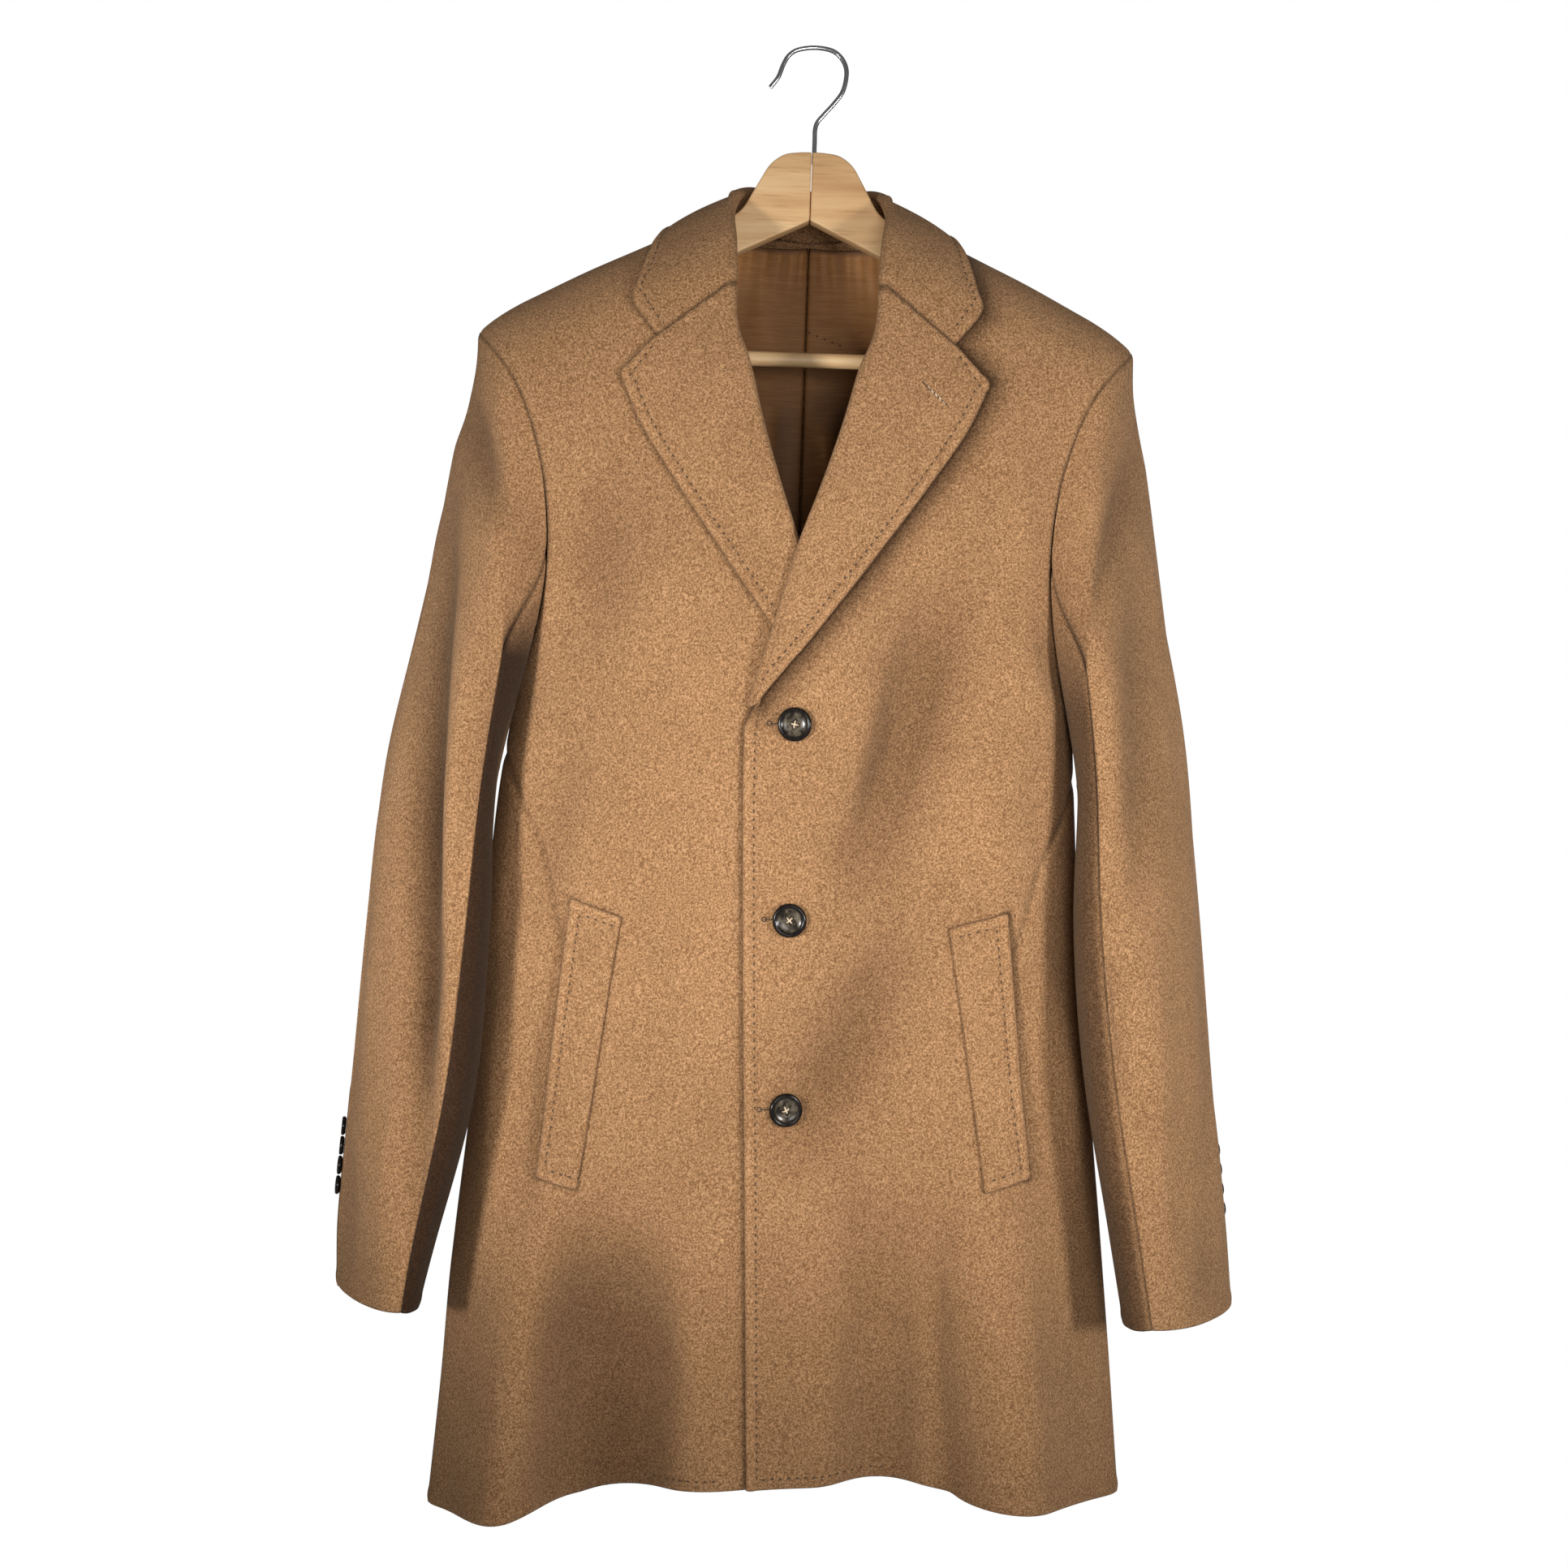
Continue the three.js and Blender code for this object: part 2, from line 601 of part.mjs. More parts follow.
// The outline's angle under a loop place, so that columns follow the seams
function columnAngle(side, place, z, startZ) {
  const { back, front } = seamAngles(side, z, startZ);
  if (place < BACK_SEAM_LOOP) {
    return columnAngle(side, place + LOOP, z, startZ) - 2 * Math.PI;
  }
  if (place > BACK_SEAM_LOOP + LOOP) {
    return columnAngle(side, place - LOOP, z, startZ) + 2 * Math.PI;
  }
  if (place <= FRONT_SEAM_LOOP) {
    return lerp(back, front, (place - BACK_SEAM_LOOP) / (FRONT_SEAM_LOOP - BACK_SEAM_LOOP));
  }
  const end = BACK_SEAM_LOOP + LOOP;
  return lerp(front, back + 2 * Math.PI, (place - FRONT_SEAM_LOOP) / (end - FRONT_SEAM_LOOP));
}

function sleevePoint(side, place, share) {
  const { point: start } = armholePlace(side, place);
  const sign = side === 'left' ? 1 : -1;
  const z = lerp(start.z, CUFF_Z[side], share);
  const angle = columnAngle(side, place, z, start.z);
  const outline = sleeveOutline(side, angle, z);
  const away = smoothstep(start.z - z, 0, SLEEVE_BLEND);
  const x = lerp(Math.abs(start.x), outline.x, away);
  const y = lerp(start.y, outline.y, away);
  return new THREE.Vector3(sign * clearOfBody(x, y, z, start.z - z), y, z);
}

// Rows of the sleeves, closer together near the armhole
const SLEEVE_ROW_EVENNESS = 0.45;
const sleeveShares = [];
for (let r = 0; r <= SLEEVE_ROWS; r += 1) {
  const t = r / SLEEVE_ROWS;
  sleeveShares.push(lerp(t * t, t, SLEEVE_ROW_EVENNESS));
}

// One of the two pieces of a sleeve, from one long seam to the other
const ARMHOLE_GAP = SEAM_GAP + 0.05;
const SIDEWAYS = 0.3;
function sleeveWall(side, fromPlace, toPlace) {
  const sign = side === 'left' ? 1 : -1;
  const places = [];
  for (let place = fromPlace - 1; place <= toPlace + 1; place += 1) {
    places.push(place);
  }
  const full = sleeveShares.map((share) => places.map((place) => sleevePoint(side, place, share)));
  const skin = offsetGrid(full, -sign * CLOTH);
  // The first row is set off from the armhole, away from the body's panels
  places.forEach((place, c) => {
    const { point, normal } = armholePlace(side, place);
    const ahead = armholePlace(side, place + 1).point;
    const behind = armholePlace(side, place - 1).point;
    const away = new THREE.Vector3().subVectors(ahead, behind).cross(normal).normalize();
    const sideways = Math.abs(away.x) > SIDEWAYS;
    if ((sideways && away.x * sign < 0) || (!sideways && away.z < 0)) {
      away.negate();
    }
    const inward = new THREE.Vector3().subVectors(skin[0][c], full[0][c]).normalize();
    const ownNormal = inward.clone().negate();
    const turn = 1 - ownNormal.dot(normal);
    const shift = away.clone().addScaledVector(normal, turn).normalize();
    const start = point.clone().addScaledVector(shift, ARMHOLE_GAP);
    const valley = ownNormal.dot(away) < 0;
    full[0][c].copy(start);
    skin[0][c].copy(start).addScaledVector(valley ? ownNormal : normal, -CLOTH);
  });
  const outer = full.map((row) => row.slice(1, -1));
  const inner = skin.map((row) => row.slice(1, -1));
  // Half the seam gap at each long seam
  for (const grid of [outer, inner]) {
    for (const row of grid) {
      const last = row.length - 1;
      const startStep = new THREE.Vector3().subVectors(row[1], row[0]).setLength(SEAM_GAP / 2);
      const endStep = new THREE.Vector3().subVectors(row[last - 1], row[last]).setLength(SEAM_GAP / 2);
      row[0].add(startStep);
      row[last].add(endStep);
    }
  }
  return wallGeometry(outer, inner);
}

for (const side of ['right', 'left']) {
  add(`sleeve_top_${side}`, sleeveWall(side, BACK_SEAM_LOOP, FRONT_SEAM_LOOP), camelWool);
  add(`sleeve_under_${side}`, sleeveWall(side, FRONT_SEAM_LOOP, BACK_SEAM_LOOP + LOOP), camelWool);
}

// Folded edge of a collar or lapel: an inner leg and an arc round the edge of
// the panel that it is sewn to. wrap is 1 where it comes right round.
function foldedEdge(panel, place, across, wrap, legLength) {
  const normal = panelNormal(panel, place.x, place.z);
  const edge = panelPoint(panel, place.x, place.z);
  const middle = edge.clone().addScaledVector(normal, -CLOTH / 2);
  const radius = CLOTH / 2 + LAYER_GAP + FOLDED_CLOTH;
  const side = across.clone().addScaledVector(normal, -across.dot(normal)).normalize();
  const arc = [];
  for (let i = 0; i <= FOLD_ARC_STEPS; i += 1) {
    const angle = Math.PI * lerp(lerp(0.5, 1, wrap), 0, i / FOLD_ARC_STEPS);
    arc.push(middle.clone()
      .addScaledVector(normal, radius * Math.cos(angle))
      .addScaledVector(side, -radius * Math.sin(angle)));
  }
  const endAngle = Math.PI * lerp(0.5, 1, wrap);
  const legDirection = side.clone().multiplyScalar(-Math.cos(endAngle))
    .addScaledVector(normal, -Math.sin(endAngle));
  const leg = arc[0].clone().addScaledVector(legDirection, lerp(SHORT_LEG, legLength, wrap));
  return [leg, ...arc];
}

const LAPEL_OUT = LAYER_GAP + FOLDED_CLOTH;
function lapelPoint(panel, place, puffShare) {
  return panelPoint(panel, place.x, place.z, LAPEL_OUT + LAPEL_PUFF * puffShare);
}

// One row from the inner leg round the edge and along the given corners
function lapelRow(panel, neck, corners, counts, wrap, legLength = INNER_LEG, puff = 1) {
  const across = new THREE.Vector3(panel.sign, 0, 0);
  const row = foldedEdge(panel, neck, across, wrap, legLength);
  let from = neck;
  let done = 0;
  const total = counts.reduce((sum, count) => sum + count, 0);
  corners.forEach((corner, i) => {
    for (let step = 1; step <= counts[i]; step += 1) {
      const t = step / counts[i];
      const place = { x: lerp(from.x, corner.x, t), z: lerp(from.z, corner.z, t) };
      done += 1;
      row.push(lapelPoint(panel, place, puff * Math.sin(Math.PI * done / total) * (1 - done / total)));
    }
    from = corner;
  });
  return row;
}

function mirrored(place, sign) {
  return { x: place.x * sign, z: place.z };
}

// Both lapels. The upper one ends at the front edge, the lower one goes on
// under the front that lies on top.
function lapelGrid(side) {
  const panel = frontPanels[side];
  const sign = panel.sign;
  const topNeck = { x: GORGE_END.x * sign, z: GORGE_END.z - GORGE_DROP };
  const seamEnd = { x: COLLAR_NOTCH.x * sign, z: COLLAR_NOTCH.z - GORGE_DROP };
  const grid = [
    lapelRow(panel, topNeck, [seamEnd, mirrored(LAPEL_TIP, sign)], [GORGE_STEPS, NOTCH_STEPS], 1),
  ];
  const endZ = side === 'left' ? UPPER_LAPEL_END_Z : UNDER_LAPEL_END_Z;
  for (let r = 1; r <= LAPEL_ROWS; r += 1) {
    const t = r / LAPEL_ROWS;
    const edgeZ = lerp(LAPEL_TIP.z, endZ, lerp(t, t * t, EDGE_CROWDING));
    const edgePlace = { x: sign * read(lapelEdge, 'z', edgeZ, 'x'), z: edgeZ };
    const neckZ = lerp(topNeck.z, endZ - 1, lerp(t, Math.sqrt(t), NECK_CROWDING));
    const neck = { x: sign * read(frontEdge, 'z', neckZ, 'x'), z: neckZ };
    const wrap = side === 'left' ? smoothstep(neckZ, WRAP_ZONE.from, WRAP_ZONE.to) : 1;
    const puff = smoothstep(neckZ, PUFF_ZONE.from, PUFF_ZONE.to);
    grid.push(lapelRow(panel, neck, [edgePlace], [GORGE_STEPS + NOTCH_STEPS], wrap, INNER_LEG, puff));
  }
  return grid;
}

for (const side of ['right', 'left']) {
  const grid = lapelGrid(side);
  const sign = frontPanels[side].sign;
  add(`lapel_${side}`, wallGeometry(grid, offsetGrid(grid, sign * FOLDED_CLOTH)), camelWool);
}

// Collar: one piece round the neck, from gorge to gorge
function collarFrontRow(panel, neck, edge, leg) {
  return lapelRow(panel, neck, [edge], [GORGE_STEPS], 1, leg);
}

const COLLAR_FOLD_RADIUS = 4.6;
const COLLAR_PUFF = 1.2;
function collarBackRow(station, sign) {
  const foot = new THREE.Vector3(station.foot[0] * sign, station.foot[1], station.foot[2]);
  const roll = new THREE.Vector3(station.roll[0] * sign, station.roll[1], station.roll[2]);
  const edge = new THREE.Vector3(station.edge[0] * sign, station.edge[1], station.edge[2]);
  const out = new THREE.Vector3(edge.x - roll.x, edge.y - roll.y, 0).normalize();
  const middle = roll.clone();
  middle.z -= COLLAR_FOLD_RADIUS;
  const row = [foot];
  for (let i = 0; i <= FOLD_ARC_STEPS; i += 1) {
    const angle = Math.PI * (1 - i / FOLD_ARC_STEPS);
    row.push(middle.clone()
      .addScaledVector(out, COLLAR_FOLD_RADIUS * Math.cos(angle))
      .add(new THREE.Vector3(0, 0, COLLAR_FOLD_RADIUS * Math.sin(angle))));
  }
  const fallStart = row[row.length - 1];
  for (let step = 1; step <= GORGE_STEPS; step += 1) {
    const t = step / GORGE_STEPS;
    const point = fallStart.clone().lerp(edge, t);
    const puff = COLLAR_PUFF * Math.sin(Math.PI * t);
    point.addScaledVector(out, puff);
    point.z += puff;
    row.push(point);
  }
  return row;
}

function collarHalf(side) {
  const panel = frontPanels[side];
  const sign = panel.sign;
  const rows = [collarFrontRow(panel, mirrored(GORGE_END, sign), mirrored(COLLAR_NOTCH, sign), INNER_LEG)];
  for (const { row, edge, leg } of collarFront) {
    const start = panelRow(panel, row)[0];
    const neck = { x: start.x - sign * COLLAR_INSET, z: start.z };
    rows.push(collarFrontRow(panel, neck, mirrored(edge, sign), leg));
  }
  for (const station of collarStations) {
    rows.push(collarBackRow(station, sign));
  }
  return rows;
}

const collarLeft = collarHalf('left');
const collarRight = collarHalf('right');
const collarGrid = [...collarRight, ...collarLeft.slice(0, -1).reverse()];
add('collar', wallGeometry(collarGrid, offsetGrid(collarGrid, FOLDED_CLOTH)), camelWool);

// Welt pockets lie on the fronts
for (const side of ['right', 'left']) {
  const panel = frontPanels[side];
  const [a, b, c, d] = welts[side];
  const shares = [0, 0.5, 1];
  const outer = [];
  const inner = [];
  for (let step = 0; step <= WELT_STEPS; step += 1) {
    const t = step / WELT_STEPS;
    const from = { x: lerp(a.x, d.x, t), z: lerp(a.z, d.z, t) };
    const to = { x: lerp(b.x, c.x, t), z: lerp(b.z, c.z, t) };
    const place = (share) => ({ x: lerp(from.x, to.x, share), z: lerp(from.z, to.z, share) });
    outer.push(shares.map((s) => panelPoint(panel, place(s).x, place(s).z, WELT_GAP + CLOTH)));
    inner.push(shares.map((s) => panelPoint(panel, place(s).x, place(s).z, WELT_GAP)));
  }
  add(`welt_${side}`, wallGeometry(outer, inner), camelWool);
}

// Lining of the back, in two halves that meet at the middle
for (const side of ['right', 'left']) {
  const panel = backPanels[side];
  const outer = [];
  const inner = [];
  for (let r = 0; r <= LINING_ROWS; r += 1) {
    const t = r / LINING_ROWS;
    const outerRow = [];
    const innerRow = [];
    for (let c = 0; c <= LINING_COLUMNS; c += 1) {
      const x = panel.sign * lerp(2 * SEAM_GAP, LINING_HALF, c / LINING_COLUMNS);
      const slope = (c / LINING_COLUMNS) * LINING_SLOPE;
      const under = topZ('back', x) - slope + LINING_TOP_Z - NECK_BACK_Z;
      const z = lerp(under, LINING_BOTTOM_Z, t);
      outerRow.push(panelPoint(panel, x, z, -CLOTH - LINING_GAP));
      innerRow.push(panelPoint(panel, x, z, -CLOTH - LINING_GAP - LINING_CLOTH));
    }
    outer.push(outerRow);
    inner.push(innerRow);
  }
  add(`lining_${side}`, wallGeometry(outer, inner), copperLining);
}

// Buttons: a dished face inside a raised rim
const ROUND_SIDES = 16;
function buttonGeometry(radius, thickness) {
  const profile = [
    [0, 0], [radius * 0.78, 0], [radius, thickness * 0.42], [radius * 0.97, thickness * 0.82],
    [radius * 0.84, thickness], [radius * 0.66, thickness * 0.72], [0, thickness * 0.66],
  ].map(([x, y]) => new THREE.Vector2(x, y));
  return new THREE.LatheGeometry(profile, ROUND_SIDES);
}

function placeButton(name, geometry, point, normal, stand) {
  const mesh = add(name, geometry, darkHorn);
  mesh.quaternion.setFromUnitVectors(new THREE.Vector3(0, 1, 0), normal);
  mesh.position.copy(point).addScaledVector(normal, stand);
}

FRONT_BUTTONS.forEach(({ x, z }, i) => {
  const panel = frontPanels.left;
  const normal = panelNormal(panel, x, z);
  const geometry = buttonGeometry(FRONT_BUTTON_RADIUS, FRONT_BUTTON_THICKNESS);
  placeButton(`button_${i + 1}`, geometry, panelPoint(panel, x, z), normal, FRONT_BUTTON_STAND);
});

// Cuff buttons stand square to the sleeve, behind its back seam
const CUFF_ANGLE_STEP = 0.05;
const CUFF_HEIGHT_STEP = 2;
for (const side of ['right', 'left']) {
  const sign = side === 'left' ? 1 : -1;
  CUFF_BUTTON_ZS.forEach((z, i) => {
    const angle = backSeamAngle[side] - CUFF_BUTTON_BEHIND_SEAM;
    const at = (turn, height) => {
      const { x, y } = sleeveOutline(side, turn, height);
      return new THREE.Vector3(sign * x, y, height);
    };
    const around = at(angle + CUFF_ANGLE_STEP, z).sub(at(angle - CUFF_ANGLE_STEP, z));
    const up = at(angle, z + CUFF_HEIGHT_STEP).sub(at(angle, z - CUFF_HEIGHT_STEP));
    const normal = around.cross(up).normalize();
    if (normal.x * sign < 0) {
      normal.negate();
    }
    const geometry = buttonGeometry(CUFF_BUTTON_RADIUS, CUFF_BUTTON_THICKNESS);
    placeButton(`cuff_button_${side}_${i + 1}`, geometry, at(angle, z), normal, CUFF_BUTTON_STAND);
  });
}

// Hanger: a flat bow with a block in the middle and a lobe at each end
function hangerTopZ(x) {
  return shoulderZ(x) - CLOTH / Math.cos(Math.atan(HANGER_ARM_SLOPE)) - HANGER_UNDER_CLOTH;
}

function hangerOutline() {
  const half = [[0, HANGER_BLOCK_TOP_Z], [HANGER_BLOCK_HALF * 0.6, HANGER_BLOCK_TOP_Z - 2.5]];
  half.push([HANGER_BLOCK_HALF, HANGER_BLOCK_SHOULDER_Z]);
  half.push([HANGER_ARM_START_X, hangerTopZ(HANGER_ARM_START_X)]);
  for (const x of [70, 100, 130, 160, 185, 198]) {
    half.push([x, hangerTopZ(x)]);
  }
  half.push([HANGER_TIP_X, hangerTopZ(HANGER_TIP_X) - 3]);
  half.push([HANGER_TIP_X + 1, BAR_Z + 4]);
  half.push([HANGER_TIP_X - 5, BAR_Z - 6]);
  half.push([HANGER_LOBE_X, BAR_Z - 8]);
  half.push([HANGER_LOBE_X, HANGER_LOW_APEX_Z - HANGER_ARM_SLOPE * HANGER_LOBE_X]);
  half.push([HANGER_ARM_START_X, HANGER_LOW_APEX_Z - HANGER_ARM_SLOPE * HANGER_ARM_START_X]);
  const mirror = half.slice(1).map(([x, z]) => [-x, z]).reverse();
  return [...half, [0, HANGER_LOW_APEX_Z], ...mirror];
}

const hangerShape = new THREE.Shape(hangerOutline().map(([x, z]) => new THREE.Vector2(x, z)));
const hangerGeometry = new THREE.ExtrudeGeometry(hangerShape, {
  depth: HANGER_THICKNESS, bevelEnabled: false,
});
const hanger = add('hanger', hangerGeometry, paleWood);
hanger.rotation.x = Math.PI / 2;
hanger.position.y = HANGER_THICKNESS / 2;

const barHalf = HANGER_LOBE_X - SEAM_GAP;
const barGeometry = new THREE.CylinderGeometry(BAR_RADIUS, BAR_RADIUS, 2 * barHalf, ROUND_SIDES);
const bar = add('trouser_bar', barGeometry, paleWood);
bar.rotation.z = Math.PI / 2;
bar.position.z = BAR_Z;

// Hook: one bent wire that stands on the block
const wireSection = new THREE.Shape();
wireSection.absarc(0, 0, WIRE_RADIUS, 0, 2 * Math.PI);
const hookCurve = new THREE.CatmullRomCurve3(hookRoute.map(([x, z]) => new THREE.Vector3(x, 0, z)));
const hookGeometry = new THREE.ExtrudeGeometry(wireSection, {
  steps: HOOK_STEPS, extrudePath: hookCurve, curveSegments: WIRE_SIDES,
});
add('hook', hookGeometry, brightSteel);

export default coat;
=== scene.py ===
import math

import bmesh
import bpy
import numpy as np
from mathutils import Matrix, Vector


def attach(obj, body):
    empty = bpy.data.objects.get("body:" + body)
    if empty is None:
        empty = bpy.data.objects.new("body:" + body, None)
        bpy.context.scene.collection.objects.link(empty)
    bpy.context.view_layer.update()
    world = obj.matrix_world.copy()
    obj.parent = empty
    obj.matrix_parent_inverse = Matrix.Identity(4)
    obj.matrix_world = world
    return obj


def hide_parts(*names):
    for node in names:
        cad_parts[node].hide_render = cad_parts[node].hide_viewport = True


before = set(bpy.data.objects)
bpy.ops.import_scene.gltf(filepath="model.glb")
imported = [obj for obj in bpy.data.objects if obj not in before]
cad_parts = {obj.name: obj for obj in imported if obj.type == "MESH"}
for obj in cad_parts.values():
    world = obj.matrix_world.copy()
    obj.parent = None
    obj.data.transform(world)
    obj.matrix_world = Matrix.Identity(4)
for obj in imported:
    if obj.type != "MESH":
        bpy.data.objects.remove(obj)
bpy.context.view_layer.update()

MM = 0.001
SIGN = {"right": -1, "left": 1}


def link_object(name, data):
    piece = bpy.data.objects.new(name, data)
    bpy.context.collection.objects.link(piece)
    return piece

# The camera, at the photograph's viewing angle
CAMERA_PLACE = (-5.0, -1500.0, -515.0)
CAMERA_ROLL = math.radians(1.9)
IMAGE_HALF_PX = 966
FOCAL_PX = 2635


def make_camera():
    data = bpy.data.cameras.new("camera")
    data.sensor_fit = "HORIZONTAL"
    data.angle = 2 * math.atan(IMAGE_HALF_PX / FOCAL_PX)
    camera = link_object("camera", data)
    right = Vector((math.cos(CAMERA_ROLL), 0, math.sin(CAMERA_ROLL)))
    up = Vector((-math.sin(CAMERA_ROLL), 0, math.cos(CAMERA_ROLL)))
    turn = Matrix((right, up, (0, -1, 0))).transposed().to_4x4()
    camera.matrix_world = Matrix.Translation(Vector(CAMERA_PLACE) * MM) @ turn
    bpy.context.scene.camera = camera


make_camera()


# Smooth readings of the named columns of a table along its first column
class Table:
    def __init__(self, names, rows):
        data = np.array(rows, float)
        if data[0, 0] > data[-1, 0]:
            data = data[::-1]
        self.key = data[:, 0]
        self.columns = dict(zip(names.split()[1:], data[:, 1:].T))

    def at(self, where, column):
        key = self.key
        value = self.columns[column]
        where = np.asarray(where, float)
        i = np.clip(np.searchsorted(key, where, side="right") - 1, 0, len(key) - 2)
        before = np.maximum(i - 1, 0)
        after = np.minimum(i + 2, len(key) - 1)
        span = key[i + 1] - key[i]
        t = np.clip((where - key[i]) / span, 0, 1)
        slope_from = (value[i + 1] - value[before]) / (key[i + 1] - key[before]) * span
        slope_to = (value[after] - value[i]) / (key[after] - key[i]) * span
        t2 = t * t
        t3 = t2 * t
        return (
            (2 * t3 - 3 * t2 + 1) * value[i]
            + (t3 - 2 * t2 + t) * slope_from
            + (3 * t2 - 2 * t3) * value[i + 1]
            + (t3 - t2) * slope_to
        )


# Sizes of the cloth
CLOTH = 2.4
FOLDED_CLOTH = 3.0
SEAM_GAP = 0.3
LAYER_GAP = 0.9
ARMPIT_Z = -455
NECK_SIDE_X = 60
NECK_SIDE_Z = -117
NECK_BACK_Z = -124
SHOULDER_ROUNDING = 60
SIDE_SQUARENESS = 3

shoulder = Table("x z", [
    (-12, -93), (12, -93), (34, -103.5), (60, -117), (119, -145), (152, -160.5),
    (185, -177.5), (202, -186.5), (218, -197), (229, -207), (262, -246),
])

body = Table("z half front back", [
    (-60, 292, 48, 50),
    (-117, 290, 52, 54),
    (-208, 262, 59, 57),
    (-250, 240, 64, 58),
    (-314, 212, 69, 58),
    (-363, 199, 71, 57),
    (-455, 195, 71, 54),
    (-568, 201, 67, 50),
    (-736, 209, 62, 48),
    (-820, 217, 59, 48),
    (-922, 228, 56, 50),
    (-1030, 239, 54, 52),
])

hem = Table("x z", [
    (-240, -1021), (-184, -1013), (-101, -1000), (-20, -993),
    (90, -986), (184, -992), (241, -998),
])

# Large folds of the body: from the top to the bottom height, from x_top to
# x_bottom, as wide as width to each side, pushed out by push. The last column
# says whether the fold opens towards the hem.
FOLDS = {
    "front": [
        (-620, -1010, -152, -184, 58, 44, True),
        (-620, -1000, 140, 180, 58, 44, True),
        (-640, -1000, -92, -98, 40, -8, True),
        (-600, -1000, 66, 70, 40, -10, True),
        (-340, -640, 104, 34, 22, -4, False),
        (-330, -600, -112, -60, 22, -3, False),
    ],
    "back": [
        (-540, -1010, -84, -104, 62, 17, True),
        (-560, -1000, 90, 112, 62, 15, True),
        (-520, -1000, 2, 4, 46, -7, True),
        (-300, -560, -120, -60, 26, -4, False),
        (-300, -560, 120, 60, 26, -4, False),
    ],
}

ARMHOLE = [
    (229, -207), (226, -211.5), (219, -219.5), (208, -232), (194, -253), (182, -284),
    (174, -318), (171, -360), (175, -402), (185, -438), (195, ARMPIT_Z),
]
armhole = Table("step x z", [(step, x, z) for step, (x, z) in enumerate(ARMHOLE)])
arm_edge = Table("z x", [(z, x) for x, z in ARMHOLE])
ARM_STEPS = 10
LOOP = 2 * ARM_STEPS

front_edge = Table("z x", [
    (-117, 60), (-128, 58.5), (-142, 56.5), (-160, 55), (-178, 53.5), (-207, 48.5),
    (-240, 39.5), (-273, 31), (-316, 17.5), (-355, 4), (-395, -7), (-435, -18),
    (-469, -28.5), (-480, -32), (-643, -27.5), (-807, -21), (-995, -14),
])

sleeves = {
    "left": Table("z outer inner depth middle", [
        (-190, 229, 160, 46, 0),
        (-211, 232, 162, 50, 0),
        (-245, 240, 166, 58, -2),
        (-299, 249, 170, 66, -4),
        (-400, 265, 180, 72, -7),
        (-502, 277, 194, 72, -11),
        (-604, 289, 197, 69, -17),
        (-706, 300, 208, 65, -25),
        (-808, 313, 227, 61, -33),
        (-872, 319, 240, 58, -37),
    ]),
    "right": Table("z outer inner depth middle", [
        (-190, 229, 160, 46, 0),
        (-211, 233, 162, 50, 0),
        (-245, 242, 166, 58, -2),
        (-315, 256, 171, 67, -4),
        (-418, 271, 183, 72, -7),
        (-521, 285, 196, 72, -11),
        (-623, 293, 202, 69, -17),
        (-726, 299, 211, 65, -25),
        (-828, 305, 232, 60, -33),
        (-876, 305, 241, 58, -36),
    ]),
}
CUFF_Z = {"left": -866, "right": -871}
SLEEVE_TURN = math.radians(20)
SLEEVE_BLEND = 75
BACK_SEAM_LOOP = -3
FRONT_SEAM_LOOP = 7
BACK_SEAM_ANGLE = {"left": math.radians(-32), "right": math.radians(-4)}
FRONT_SEAM_ANGLE = math.radians(108)
SEAM_SETTLE = 190
BODY_CLEARANCE = 2.6
ARMPIT_CLEARANCE = 6.5

GORGE_END = (52.6, -178)
COLLAR_NOTCH = (99.5, -215.5)
LAPEL_TIP = (123, -241)
lapel_edge = Table("z x", [
    (-241, 123), (-245, 122), (-276, 108), (-316, 82), (-353, 56), (-388, 31),
    (-423, 5), (-448, -16), (-465, -27),
])
INNER_LEG = 12
LAPEL_PUFF = 2.5
UPPER_LAPEL_END_Z = -462
UNDER_LAPEL_END_Z = -428
GORGE_SHARE = 5 / 7

# Collar stations: foot, roll and edge, from the side of the neck to the back
COLLAR_STATIONS = [
    ((56.5, -11, -117), (53, -14, -105.5), (106, -28, -142.5)),
    ((56, 0, -116.4), (51.5, -2, -100), (100.5, -6, -131)),
    ((45, 21, -118), (43.5, 21, -91.5), (90, 27, -128.5)),
    ((24.5, 38, -121), (25, 45, -86.5), (60, 52, -131.5)),
    ((12.5, 42.8, -122), (12.5, 51.8, -84.7), (30, 60, -133.4)),
    ((0, 44.4, -122.5), (0, 54, -84.2), (0, 62.5, -134)),
]
COLLAR_INSET = 1.7
COLLAR_FRONT = [(3, (116.5, -192.5), 8), (2, (114, -178), 4), (1, (108.5, -158), 1)]
COLLAR_FOLD_RADIUS = 4.6
COLLAR_PUFF = 1.2

WELTS = {
    "right": [(-145, -598), (-111.5, -608), (-136.5, -791.5), (-163, -784)],
    "left": [(145.5, -598), (110, -609), (140, -783), (166.5, -774)],
}

# Buttons: holes are given as their radius and their distance from the middle
FRONT_BUTTONS = [(1.2, -475), (1.8, -606), (2.8, -734)]
FRONT_BUTTON_RADIUS = 11.5
FRONT_BUTTON_THICKNESS = 4.4
FRONT_BUTTON_HOLES = (1.1, 2.4)
CUFF_BUTTON_ZS = [-765, -778.5, -792, -805.5]
CUFF_BUTTON_RADIUS = 6.6
CUFF_BUTTON_THICKNESS = 3
CUFF_BUTTON_HOLES = (0.7, 1.6)
CUFF_BUTTON_BEHIND_SEAM = math.radians(12)


def ease(value, low, high):
    t = np.clip((np.asarray(value, float) - low) / (high - low), 0, 1)
    return t * t * (3 - 2 * t)


def mix(a, b, t):
    return a + (b - a) * t


def unit(vectors):
    length = np.linalg.norm(vectors, axis=-1, keepdims=True)
    return vectors / np.maximum(length, 1e-9)


